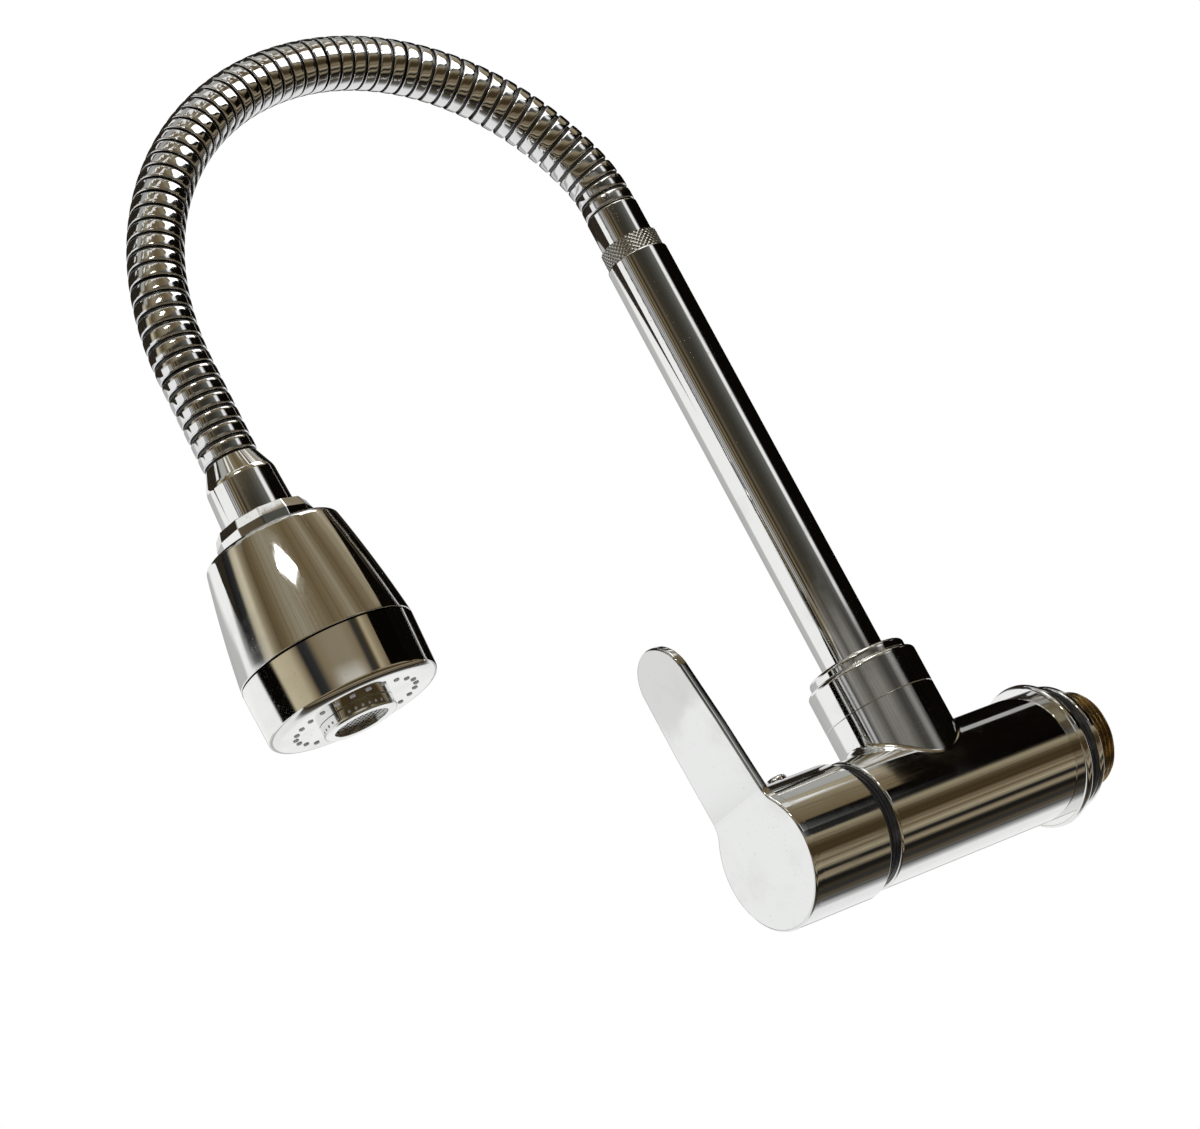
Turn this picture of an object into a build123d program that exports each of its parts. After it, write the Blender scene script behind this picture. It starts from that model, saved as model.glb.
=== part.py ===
from build123d import *
import math
import os

os.makedirs("parts", exist_ok=True)

# Wall-mounted kitchen tap with a flexible gooseneck spout, in millimetres.
# The wall is the plane y = 0, the body runs forward along -Y and the spout stands up along +Z.

# Body and its bosses
body_radius = 21.6
body_back = -13.5
body_front = -95.5
riser_y = -62.5
boss_radius = 19.5
boss_top = 33.5
boss_fillet = 2.5
spigot_radius = 16.8
spigot_height = 8.5
neck_bore = 14.0
neck_bore_floor = 18.0
neck_waterway_radius = 6.3
neck_waterway_floor = 6.5
cavity_radius = 17.1
cavity_floor = -69.0
nut_seat_radius = 19.0
nut_seat_depth = 8.0
port_radius = 4.0
port_offset = 8.0
outlet_offset = 9.0
inlet_chamber_radius = 10.0
inlet_chamber_front = -40.0
edge_round = 0.8

# Inlet stub, wall flange and gaskets
stub_spigot_radius = 14.95
stub_spigot_length = 14.0
stub_end = 9.0
thread_start = 0.3
thread_crest_radius = 16.6
thread_root_radius = 15.5
thread_pitch = 1.75
thread_crest_width = 0.7
inlet_thread_radius = 9.316
inlet_thread_length = 15.0
stub_waterway_radius = 7.5
flange_radius = 24.6
flange_thickness = 3.0
flange_round = 1.2
flange_groove_radius = 21.4
flange_groove_width = 6.0
flange_ring_radius = 21.6
flange_ring_width = 2.5
flange_ring_round = 0.8
wall_gasket_radius = 19.0
wall_gasket_thickness = 2.0
strainer_thickness = 2.0
strainer_hole_radius = 0.7
strainer_hole_step = 2.1
strainer_circles = 3

# Cartridge
cartridge_radius = 17.0
cartridge_neck_radius = 12.0
cartridge_wall = 2.0
disc_radius = 13.5
disc_thickness = 3.0
disc_slot_width = 6.4
base_plate_thickness = 3.0
base_seal_thickness = 1.0
stem_radius = 4.5
stem_flat = 3.3
stem_foot_margin = 1.5
stem_foot_height = 1.5
stem_foot_depth = 2.9
stem_front_gap = 5.0
flat_cutter_width = 20.0
flat_cutter_depth = 10.0
carrier_thickness = 5.0
cartridge_neck_reach = 5.0
cartridge_nut_flats = 15.0
cartridge_nut_length = 12.5
cartridge_nut_hex_length = 6.0
cartridge_nut_hex_overlap = 1.0
gap_ring_radius = 20.2
gap_ring_width = 5.4

# Handle
handle_radius = 22.8
handle_back = -101.3
handle_front = -133.7
handle_wall = 2.4
handle_face = 2.0
handle_overlap = 0.4
lever_cut_depth = 30.0
lever_thickness = 3.4
lever_reach = 77.2
lever_root_half_width = 16.0
lever_middle_half_width = 14.0
lever_middle_height = 45.0
lever_tip_radius = 12.5
lever_lean_start = 14.0
lever_lean_degrees = 4.0
lever_corner = 9.0
lever_corner_margin = 5.0
hub_radius = 8.5
hub_back = -109.0
stem_socket_gap = 0.5
grub_screw_y = -115.0
grub_screw_radius = 2.45
grub_screw_top = 13.0
grub_socket_depth = 3.0
grub_socket_half_flats = 1.25
grub_boss_radius = 5.0
grub_boss_overlap = 0.3
plug_head_radius = 3.7
plug_head_height = 1.8
plug_head_round = 1.62
plug_shank_depth = 4.5
plug_overlap = 0.5

# Swivel nut, collar and riser tube
nut_radius = 19.5
nut_height = 14.0
nut_round = 1.6
nut_lip_radius = 11.7
nut_lip_thickness = 2.4
collar_radius = 17.2
collar_height = 3.6
collar_round = 1.4
foot_flange_thickness = 2.0
foot_gap = 0.5
foot_flange_radius = 16.4
foot_socket_floor = 30.0
foot_waterway_radius = 8.5
seal_section_radius = 1.15
groove_half = 1.3
lower_seal_offset = 4.0
upper_seal_offset = 9.2
slip_ring_thickness = 0.8
riser_radius = 11.0
riser_bore = 9.8
riser_top = 208.0
riser_round = 0.6

# Hose and its ends
plug_depth = 10.0
knurl_radius = 10.4
knurl_depth = 0.5
knurl_teeth = 36
knurl_height = 6.4
ferrule_radius = 9.3
ferrule_height = 12.6
ferrule_round = 0.5
hose_radius = 9.1
groove_radius = 8.2
hose_bore = 6.6
cuff_radius = 7.9
groove_floor = 0.9
rib_slope = 0.35
ribs_per_span = 6
span_count = 10
hose_straight = 4.0
shoulder_bend_radius = 38.0
shoulder_bend_degrees = 20.0
rising_bend_radius = 90.0
falling_bend_radius = 95.5
tube_radius = 5.2
tube_bore = 3.8
tube_insertion = 10.0
tube_end_gap = 0.5

# Spray head
head_neck_top = 176.0
head_neck_shoulder = 169.0
head_neck_base = 155.0
head_neck_top_radius = 8.5
head_neck_shoulder_radius = 11.4
head_neck_base_radius = 12.0
head_spigot_radius = 8.5
head_spigot_length = 15.0
grip_ring_radius = 16.2
grip_ring_height = 7.6
grip_flats = 12
grip_cone_low = 4.0
grip_cone_outset = 3.0
grip_cone_inset = 1.2
bell_top_radius = 21.9
bell_middle_radius = 26.0
bell_middle_height = 126.0
bell_base_radius = 28.5
bell_wall = 1.8
bell_corner = 1.6
seam_height = 108.4
seam_gap = 0.6
selector_base_radius = 27.9
selector_base = 88.3
selector_corner = 2.6
selector_plate = 2.2
selector_hub_wall = 3.0
selector_hub_gap = 0.6
selector_collar_wall = 1.0
selector_lip_inset = 2.0
selector_lip_thickness = 1.0
core_radius = 15.0
core_rise = 1.0
core_flange_thickness = 3.0
core_flange_gap = 1.2
core_stub_radius = 13.0
core_stub_length = 7.0
core_seal_height = 2.5
aerator_radius = 12.1
aerator_bore = 9.6
aerator_end = 84.4
aerator_round = 0.7
aerator_lip = 0.8
aerator_thread_radius = 10.4
aerator_thread_length = 8.0
washer_thickness = 1.5
washer_inset = 2.5
mesh_seat = 1.6
mesh_rim = 1.2
mesh_pitch = 1.7
mesh_hole = 1.2
mesh_thickness = 0.5
insert_wall = 1.8
insert_height = 6.0
insert_plate_low = 2.5
insert_plate_high = 4.0
insert_plate_inset = 1.0
insert_hole_count = 8
insert_hole_circle = 4.5
insert_hole_radius = 0.9
spray_port_count = 4
spray_port_radius = 1.1
spray_port_drop = 2.2
spray_port_reach = 6.0
nozzle_count = 24
nozzle_circle = 20.0
nozzle_radius = 0.9
nozzle_hole_radius = 0.45
nozzle_reach = 0.3
mat_margin = 2.5
mat_thickness = 1.5
mat_overlap = 0.5

# Clearances
running_fit = 0.05
slip_fit = 0.1
face_gap = 0.05


def along_y(shape):
    """Turn a shape made on the Z axis so that its height runs along +Y."""
    return Rot(-90, 0, 0) * shape


def rod(radius, low, high):
    """A cylinder on the Z axis between two heights."""
    return Pos(0, 0, low) * Cylinder(radius, high - low, align=(Align.CENTER, Align.CENTER, Align.MIN))


def ring(outer, inner, low, high):
    """A tube on the Z axis between two heights."""
    return rod(outer, low, high) - rod(inner, low - 1, high + 1)


def turned(points):
    """A turned solid on the Z axis, from a closed outline of (radius, height) points."""
    return revolve(Plane.XZ * make_face(Polyline(points, close=True)), Axis.Z)


def at_riser(shape):
    """Move a shape from the Z axis onto the axis of the riser tube."""
    return Pos(0, riser_y, 0) * shape


def save(shape, name):
    """Write one node of the tap."""
    export_step(shape, "parts/" + name + ".step")


# Heights and depths that follow from the driving sizes
spigot_top = boss_top + spigot_height
nut_top = boss_top + nut_height
collar_top = nut_top + collar_height
knurl_top = riser_top + knurl_height
ferrule_top = knurl_top + ferrule_height
flange_back = body_back + flange_thickness
groove_back = flange_back + flange_groove_width
ring_back = groove_back + flange_ring_width
seal_heights = (neck_bore_floor + lower_seal_offset, neck_bore_floor + upper_seal_offset)
foot_top = spigot_top + face_gap + foot_flange_thickness
tube_end = head_neck_top - tube_insertion
bell_top = head_neck_base - grip_ring_height
core_bottom = seam_height + core_rise
core_groove = core_bottom - core_stub_length + core_seal_height
selector_top = seam_height - seam_gap
mesh_low = aerator_end + mesh_seat

# Places along the cartridge, from its seat at the cavity floor to the front
base_back = cavity_floor - base_seal_thickness
base_front = base_back - base_plate_thickness
fixed_disc_front = base_front - disc_thickness
moving_disc_back = fixed_disc_front - face_gap
moving_disc_front = moving_disc_back - disc_thickness
carrier_back = moving_disc_front - face_gap
carrier_front = carrier_back - carrier_thickness
housing_shoulder = body_front + nut_seat_depth
housing_front = handle_back - cartridge_neck_reach
stem_front = handle_front + lever_thickness + stem_front_gap

# The hose's bends, from the ferrule to the head: radius and degrees
rising_bend_degrees = 90 - shoulder_bend_degrees
hose_bends = ((shoulder_bend_radius, shoulder_bend_degrees), (rising_bend_radius, rising_bend_degrees),
              (falling_bend_radius, 90))


def body_casting():
    """The chromed body: a horizontal barrel with the spout boss, cavity and waterways."""
    barrel = along_y(rod(body_radius, body_front, body_back))
    outside = barrel + at_riser(rod(boss_radius, 0, boss_top))
    joint_edges = outside.edges().filter_by(lambda e: e.geom_type != GeomType.CIRCLE
                                            and e.geom_type != GeomType.LINE)
    outside = fillet(joint_edges, boss_fillet)
    circles = outside.edges().filter_by(GeomType.CIRCLE)
    rims = circles.filter_by_position(Axis.Y, body_front - 1, body_front + 1)
    outside = fillet(rims, edge_round)
    outside = outside + at_riser(rod(spigot_radius, boss_top - 1, spigot_top))
    cavity = along_y(rod(cavity_radius, body_front - 1, cavity_floor))
    nut_seat = along_y(rod(nut_seat_radius, body_front - 1, body_front + nut_seat_depth))
    inlet_port = along_y(rod(port_radius, cavity_floor - 1, inlet_chamber_front + 1))
    outlet_port = along_y(rod(port_radius, cavity_floor - 1, riser_y))
    chamber = along_y(rod(inlet_chamber_radius, inlet_chamber_front, body_back))
    stub_socket = along_y(rod(stub_spigot_radius + face_gap, body_back - stub_spigot_length, body_back + 1))
    neck = at_riser(rod(neck_bore, neck_bore_floor, spigot_top + 1))
    waterway = at_riser(rod(neck_waterway_radius, neck_waterway_floor, neck_bore_floor + 1))
    outside -= [Pos(0, 0, -port_offset) * inlet_port, Pos(0, 0, outlet_offset) * outlet_port]
    return outside - cavity - nut_seat - chamber - stub_socket - neck - waterway


def inlet_stub():
    """The brass inlet: fine parallel thread outside, half-inch pipe thread bore inside."""
    points = [(0, body_back - stub_spigot_length), (stub_spigot_radius, body_back - stub_spigot_length),
              (stub_spigot_radius, body_back), (thread_root_radius, body_back)]
    slope = (thread_pitch - thread_crest_width) / 2
    crest_start = stub_end - thread_crest_width
    crests = int((crest_start - slope - thread_start) / thread_pitch)
    for turn in range(crests, -1, -1):
        low = crest_start - turn * thread_pitch
        points += [(thread_root_radius, low - slope), (thread_crest_radius, low),
                   (thread_crest_radius, low + thread_crest_width)]
    points += [(0, stub_end)]
    stub = turned(points)
    stub -= rod(inlet_thread_radius, stub_end - inlet_thread_length, stub_end + 1)
    stub -= rod(stub_waterway_radius, body_back - stub_spigot_length - 1, stub_end)
    return along_y(stub)


def inlet_strainer():
    """A perforated disc held in the stub's waterway."""
    seat = body_back - stub_spigot_length
    disc = rod(stub_waterway_radius - face_gap, seat, seat + strainer_thickness)
    holes = [rod(strainer_hole_radius, seat - 1, seat + strainer_thickness + 1)]
    for circle in range(1, strainer_circles + 1):
        step = strainer_hole_step * circle
        for turn in range(6 * circle):
            angle = math.radians(60 * turn / circle)
            holes.append(Pos(step * math.cos(angle), step * math.sin(angle), 0) * holes[0])
    return along_y(disc - holes)


def wall_flange():
    """The chromed ring against the back of the body."""
    plate = ring(flange_radius, thread_crest_radius + slip_fit, body_back, flange_back)
    plate = fillet(plate.edges().filter_by(GeomType.CIRCLE).sort_by(SortBy.RADIUS)[-2:], flange_round)
    return along_y(plate)


def flange_ring():
    """The thin chromed ring behind the groove."""
    plate = ring(flange_ring_radius, thread_crest_radius + slip_fit, groove_back, ring_back)
    plate = fillet(plate.edges().filter_by(GeomType.CIRCLE).sort_by(SortBy.RADIUS)[-2:], flange_ring_round)
    return along_y(plate)


def flange_groove_ring():
    """The black rubber ring that fills the groove between the two chromed rings."""
    return along_y(ring(flange_groove_radius, thread_crest_radius + slip_fit, flange_back, groove_back))


def wall_gasket():
    """The rubber gasket whose back face lies on the wall."""
    low = -wall_gasket_thickness
    return along_y(ring(wall_gasket_radius, thread_crest_radius + slip_fit, low, 0))


def ports(low, high):
    """The inlet and outlet ports of the cartridge, between two depths."""
    return [Pos(0, place, 0) * rod(port_radius, low, high) for place in (port_offset, -outlet_offset)]


def cartridge_base():
    """The plastic plate at the foot of the cartridge, with an inlet and an outlet port."""
    plate = rod(cartridge_radius - cartridge_wall - face_gap, base_front, base_back)
    return along_y(plate - ports(base_front - 1, base_back + 1))


def cartridge_base_seal():
    """The rubber seal between the cartridge and the body."""
    plate = rod(cartridge_radius - face_gap, base_back, cavity_floor)
    return along_y(plate - ports(base_back - 1, cavity_floor + 1))


def fixed_disc():
    """The fixed ceramic disc with two round ports."""
    disc = rod(disc_radius, fixed_disc_front, base_front)
    return along_y(disc - ports(fixed_disc_front - 1, base_front + 1))


def moving_disc():
    """The turning ceramic disc: its wide slot joins the two ports when the handle is turned."""
    disc = rod(disc_radius - slip_fit, moving_disc_front, moving_disc_back)
    slot = Pos(0, 0, moving_disc_front + 1) * Box(2 * port_offset, disc_slot_width, disc_thickness,
                                                  align=(Align.CENTER, Align.CENTER, Align.MIN))
    return along_y(disc - slot)


def cartridge_carrier():
    """The plastic driver between the stem and the turning disc."""
    plate = rod(disc_radius - slip_fit, carrier_front, carrier_back)
    socket_radius = stem_radius + stem_foot_margin + slip_fit
    socket = rod(socket_radius, carrier_front - 1, carrier_front + stem_foot_depth + slip_fit)
    return along_y(plate - socket)


def cartridge_stem():
    """The brass stem that the handle turns, with a flat for the grub screw."""
    foot_radius = stem_radius + stem_foot_margin
    foot = rod(foot_radius, carrier_front - stem_foot_height, carrier_front + stem_foot_depth)
    stem = foot + rod(stem_radius, stem_front, carrier_front)
    cutter = Box(flat_cutter_width, flat_cutter_depth, hub_back - stem_front + 1,
                 align=(Align.CENTER, Align.MAX, Align.MIN))
    flat = Pos(0, -stem_flat, stem_front - 1) * cutter
    return along_y(stem - flat)


def cartridge_housing():
    """The shell of the cartridge: a wide cup with a narrow neck for the stem."""
    inner = cartridge_radius - cartridge_wall
    roof = carrier_front - stem_foot_height - face_gap
    cup = rod(cartridge_radius, housing_shoulder, base_back)
    cup += rod(cartridge_neck_radius, housing_front, housing_shoulder)
    cup -= rod(inner, base_front + face_gap, base_back + 1)
    cup -= rod(inner, roof, base_back + 1)
    cup -= rod(stem_radius + running_fit, housing_front - 1, roof + 1)
    return along_y(cup)


def cartridge_stem_seal():
    """The O-ring between the stem and the shell, at the front of the neck."""
    middle = housing_front - seal_section_radius
    torus = Pos(0, 0, middle) * Torus(stem_radius + running_fit + seal_section_radius, seal_section_radius)
    return along_y(torus)


def cartridge_nut():
    """The brass nut that holds the cartridge in the body, hexagonal at the front."""
    back = housing_shoulder
    front = back - cartridge_nut_length
    threaded = rod(nut_seat_radius - slip_fit, front, back)
    hex_length = cartridge_nut_hex_length - cartridge_nut_hex_overlap
    hexagon = extrude(RegularPolygon(cartridge_nut_flats, 6, major_radius=False), hex_length)
    nut = threaded + Pos(0, 0, front - hex_length) * hexagon
    bore = rod(cartridge_neck_radius + slip_fit, front - cartridge_nut_hex_length - 1, back + 1)
    return along_y(nut - bore)


def gap_ring():
    """The black ring in the gap between the body and the handle."""
    low = body_front - gap_ring_width
    return along_y(ring(gap_ring_radius, nut_seat_radius + face_gap, low, body_front))


def lever_outline():
    """The handle seen from the front: a disc with a paddle that narrows to a round tip."""
    straight_top = lever_reach - lever_tip_radius
    left = [(-lever_root_half_width, 0), (-lever_middle_half_width, lever_middle_height),
            (-lever_tip_radius, straight_top)]
    right = [(-x, z) for x, z in reversed(left)]
    edge = Polyline(left) + ThreePointArc(left[-1], (0, lever_reach), right[0])
    edge = edge + Polyline(right) + Line(right[-1], left[0])
    face = make_face(edge) + Circle(handle_radius)
    low, high = lever_corner_margin, lever_middle_height - lever_corner_margin
    corners = [v for v in face.vertices() if abs(v.X) > lever_middle_half_width and low < v.Y < high]
    return fillet(corners, lever_corner)


def lever_handle():
    """The one-piece handle: a cap over the cartridge and the lever that leans away from the wall."""
    lean = math.tan(math.radians(lever_lean_degrees))
    rise = lever_reach + 1 - lever_lean_start
    back = handle_front + lever_thickness
    side = [(handle_front, -handle_radius - 1), (handle_front, lever_lean_start),
            (handle_front - rise * lean, lever_reach + 1), (back - rise * lean, lever_reach + 1),
            (back, lever_lean_start), (back, -handle_radius - 1)]
    slab = extrude(Plane.YZ * make_face(Polyline(side, close=True)), lever_cut_depth, both=True)
    face_plane = Plane(origin=(0, handle_front - lever_cut_depth / 2, 0), x_dir=(-1, 0, 0), z_dir=(0, 1, 0))
    plate = slab & extrude(face_plane * lever_outline(), lever_cut_depth)
    cap = along_y(rod(handle_radius, back - handle_overlap, handle_back))
    cap -= along_y(rod(handle_radius - handle_wall, back + handle_face, handle_back + 1))
    hub = along_y(rod(hub_radius, back, hub_back))
    boss_reach = handle_radius - handle_wall + grub_boss_overlap
    screw_boss = Pos(0, grub_screw_y, 0) * rod(grub_boss_radius, stem_radius + 1, boss_reach)
    handle = plate + cap + hub + screw_boss
    socket = along_y(rod(stem_radius + running_fit, stem_front - stem_socket_gap, hub_back + 1))
    screw_hole = Pos(0, grub_screw_y, 0) * rod(grub_screw_radius + face_gap, 0, handle_radius + 2)
    return handle - socket - screw_hole


def grub_screw():
    """The screw that clamps the handle on the stem's flat, with a hexagon socket."""
    screw = rod(grub_screw_radius, stem_flat + slip_fit, grub_screw_top)
    hexagon = extrude(RegularPolygon(grub_socket_half_flats, 6, major_radius=False), grub_socket_depth + 1)
    return Pos(0, grub_screw_y, 0) * (screw - Pos(0, 0, grub_screw_top - grub_socket_depth) * hexagon)


def screw_plug():
    """The small round plug that closes the screw hole on top of the handle."""
    head = rod(plug_head_radius, handle_radius - slip_fit, handle_radius + plug_head_height)
    head = fillet(head.edges().sort_by(Axis.Z)[-1], plug_head_round)
    head = Pos(0, grub_screw_y, 0) * head - along_y(rod(handle_radius + face_gap, handle_front, handle_back))
    shank = rod(grub_screw_radius, handle_radius - plug_shank_depth, handle_radius + plug_overlap)
    return Pos(0, grub_screw_y, 0) * shank + head


def swivel_nut():
    """The round nut on the boss that holds the spout down and lets it turn."""
    nut = rod(nut_radius, boss_top + slip_fit, nut_top)
    nut = fillet(nut.edges().sort_by(Axis.Z)[-1], nut_round)
    nut -= rod(spigot_radius + face_gap, boss_top - 1, nut_top - nut_lip_thickness)
    return at_riser(nut - rod(nut_lip_radius, 0, nut_top + 1))


def collar():
    """The thin chromed collar round the riser, above the nut."""
    band = rod(collar_radius, nut_top + slip_fit, collar_top)
    band = fillet(band.edges().sort_by(Axis.Z)[-1], collar_round)
    return at_riser(band - rod(riser_radius + face_gap, 0, collar_top + 1))


def spout_foot():
    """The brass foot of the spout, with two seal grooves, a flange and the riser's socket."""
    radius = neck_bore - running_fit
    foot = rod(radius, neck_bore_floor + foot_gap, spigot_top + face_gap)
    foot += rod(foot_flange_radius, spigot_top + face_gap, foot_top)
    groove_radius_in = radius - 2 * seal_section_radius - face_gap
    for height in seal_heights:
        foot -= ring(radius + 1, groove_radius_in, height - groove_half, height + groove_half)
    foot -= rod(foot_waterway_radius, 0, foot_top + 1)
    return at_riser(foot - rod(riser_radius + face_gap, foot_socket_floor, foot_top + 1))


def spout_seals():
    """The two O-rings round the spout's foot, as separate solids in one node."""
    centre_radius = neck_bore - running_fit - seal_section_radius
    rings = [Pos(0, riser_y, z) * Torus(centre_radius, seal_section_radius) for z in seal_heights]
    return Compound(children=rings)


def slip_ring():
    """The thin plastic ring between the foot's flange and the nut's lip."""
    band = ring(foot_flange_radius, riser_radius + slip_fit, foot_top, foot_top + slip_ring_thickness)
    return at_riser(band)


def riser_tube():
    """The chromed riser tube."""
    tube = rod(riser_radius, foot_socket_floor, riser_top)
    tube = fillet(tube.edges().sort_by(Axis.Z)[-1], riser_round)
    return at_riser(tube - rod(riser_bore, 0, riser_top + 1))


def knurled_plug():
    """The plug in the top of the riser, with a knurled band where the hose starts."""
    teeth = []
    for step in range(2 * knurl_teeth):
        radius = knurl_radius - (step % 2) * knurl_depth
        angle = math.pi * step / knurl_teeth
        teeth.append((radius * math.cos(angle), radius * math.sin(angle)))
    band = Pos(0, 0, riser_top) * extrude(make_face(Polyline(teeth, close=True)), knurl_height)
    plug = band + rod(riser_bore - face_gap, riser_top - plug_depth, riser_top)
    return at_riser(plug - rod(tube_radius + slip_fit, 0, knurl_top + 1))


def upper_ferrule():
    """The smooth sleeve that grips the lower end of the hose."""
    sleeve = rod(ferrule_radius, knurl_top, ferrule_top)
    sleeve = fillet(sleeve.edges().sort_by(Axis.Z)[-1], ferrule_round)
    return at_riser(sleeve - rod(cuff_radius + face_gap, 0, ferrule_top + 1))


def route_point(distance):
    """The hose's centre line at a distance from the top of the ferrule: (y, z, heading in degrees).

    The heading is 90 straight up, 180 level and away from the wall, and 270 straight down.
    """
    y, z, heading = riser_y, ferrule_top, 90.0
    straight = min(distance, hose_straight)
    z += straight
    distance -= straight
    for radius, degrees in hose_bends:
        turn = min(math.degrees(distance / radius), degrees)
        start = math.radians(heading)
        heading += turn
        end = math.radians(heading)
        y += radius * (math.sin(end) - math.sin(start))
        z += radius * (math.cos(start) - math.cos(end))
        distance -= radius * math.radians(turn)
    return y, z - distance, heading


def bent_length():
    """The length of the hose's straight start and three bends."""
    return hose_straight + sum(radius * math.radians(degrees) for radius, degrees in hose_bends)


def section(distance, radius):
    """A circle across the hose at a distance along it."""
    y, z, heading = route_point(distance)
    angle = math.radians(heading)
    plane = Plane(origin=(0, y, z), x_dir=(1, 0, 0), z_dir=(0, math.cos(angle), math.sin(angle)))
    return plane * Circle(radius)


# Where the hose ends: straight above the head
head_y, bend_end_z, bend_end_heading = route_point(bent_length())
hose_length = bent_length() + bend_end_z - head_neck_top
span_length = hose_length / span_count
rib_pitch = span_length / ribs_per_span


def hose_span(number):
    """One span of the hose's steel armour: a run of ribs with its bore."""
    first = number * span_length
    outline = []
    bore = []
    for rib in range(ribs_per_span):
        low = first + rib * rib_pitch + groove_floor / 2
        high = first + (rib + 1) * rib_pitch - groove_floor / 2
        outline += [section(low, groove_radius), section(low + rib_slope, hose_radius),
                    section(high - rib_slope, hose_radius), section(high, groove_radius)]
        bore += [section(low, hose_bore), section(high, hose_bore)]
    span = loft(outline, ruled=True) - loft(bore, ruled=True)
    if number == 0:
        cuff = at_riser(ring(cuff_radius, hose_bore, knurl_top + face_gap, ferrule_top + groove_floor / 2))
        span = span + cuff
    if number == span_count - 1:
        end_ring = ring(cuff_radius, hose_bore, head_neck_top, head_neck_top + groove_floor / 2)
        span = span + Pos(0, head_y, 0) * end_ring
    return span


def water_tube():
    """The inner water tube through the hose, from the plug to the head's neck."""
    start = riser_top - plug_depth / 2
    path = Line((0, riser_y, start), (0, riser_y, ferrule_top + hose_straight))
    points = [route_point(hose_straight)]
    travelled = hose_straight
    for radius, degrees in hose_bends:
        length = radius * math.radians(degrees)
        middle = route_point(travelled + length / 2)
        travelled += length
        end = route_point(travelled)
        path = path + ThreePointArc((0, *points[-1][:2]), (0, *middle[:2]), (0, *end[:2]))
        points.append(end)
    path = path + Line((0, *points[-1][:2]), (0, head_y, tube_end))
    profile = Plane(origin=(0, riser_y, start), z_dir=(0, 0, 1)) * (Circle(tube_radius) - Circle(tube_bore))
    return sweep(profile, path=path)


def at_head(shape):
    """Move a shape from the Z axis onto the axis of the spray head."""
    return Pos(0, head_y, 0) * shape


def head_neck():
    """The chromed neck of the head, which holds the hose and screws into the head's core."""
    neck = turned([(0, head_neck_base), (head_neck_base_radius, head_neck_base),
                   (head_neck_shoulder_radius, head_neck_shoulder), (head_neck_top_radius, head_neck_top),
                   (0, head_neck_top)])
    neck += rod(head_spigot_radius, head_neck_base - head_spigot_length, head_neck_base)
    neck -= rod(tube_radius + slip_fit, tube_end - tube_end_gap, head_neck_top + 1)
    return at_head(neck - rod(tube_bore, 0, head_neck_top))


def grip_ring():
    """The bright faceted ring between the neck and the bell."""
    prism = extrude(RegularPolygon(grip_ring_radius, grip_flats), grip_ring_height - face_gap)
    band = Pos(0, 0, bell_top) * prism
    wide, narrow = grip_ring_radius + grip_cone_outset, grip_ring_radius - grip_cone_inset
    cone = turned([(0, bell_top - 1), (wide, bell_top - 1), (wide, bell_top + grip_cone_low),
                   (narrow, head_neck_base + 1), (0, head_neck_base + 1)])
    return at_head((band & cone) - rod(head_spigot_radius + face_gap, 0, head_neck_base + 1))


def bell_side(inset, low, high):
    """The curved side of the head's bell, moved inwards by a wall."""
    return ThreePointArc((bell_top_radius - inset, high), (bell_middle_radius - inset, bell_middle_height),
                         (bell_base_radius - inset, low))


def bell_shell():
    """The chromed bell of the head, a thin shell with a flat top."""
    hole = head_spigot_radius + face_gap
    roof = bell_top - bell_wall
    outer = bell_side(0, seam_height, bell_top)
    inner = bell_side(bell_wall, seam_height, roof)
    rim = Line((bell_base_radius, seam_height), (bell_base_radius - bell_wall, seam_height))
    top = Polyline((bell_top_radius - bell_wall, roof), (hole, roof), (hole, bell_top),
                   (bell_top_radius, bell_top))
    outline = outer + rim + inner + top
    shell = revolve(Plane.XZ * make_face(outline), Axis.Z)
    circles = shell.edges().filter_by(GeomType.CIRCLE)
    top_edge = circles.filter_by(lambda e: abs(e.radius - bell_top_radius) < face_gap)
    return at_head(fillet(top_edge, bell_corner))


def head_core():
    """The plastic core that carries the bell, takes the neck and holds the selector."""
    roof = bell_top - bell_wall - face_gap
    core = rod(core_radius, core_bottom, roof)
    flange = bell_base_radius - bell_wall - core_flange_gap
    core += rod(flange, core_bottom, core_bottom + core_flange_thickness)
    core += rod(core_stub_radius, core_bottom - core_stub_length, core_bottom)
    groove_bottom = core_stub_radius - 2 * seal_section_radius - face_gap
    core -= ring(core_stub_radius + 1, groove_bottom, core_groove - groove_half, core_groove + groove_half)
    core -= rod(head_spigot_radius + face_gap, head_neck_base - head_spigot_length, roof + 1)
    for turn in range(spray_port_count):
        core -= spray_port(turn)
    return at_head(core - rod(tube_bore, 0, roof))


def core_seal():
    """The O-ring between the core and the selector."""
    torus = Torus(core_stub_radius - seal_section_radius, seal_section_radius)
    return at_head(Pos(0, 0, core_groove) * torus)


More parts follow.
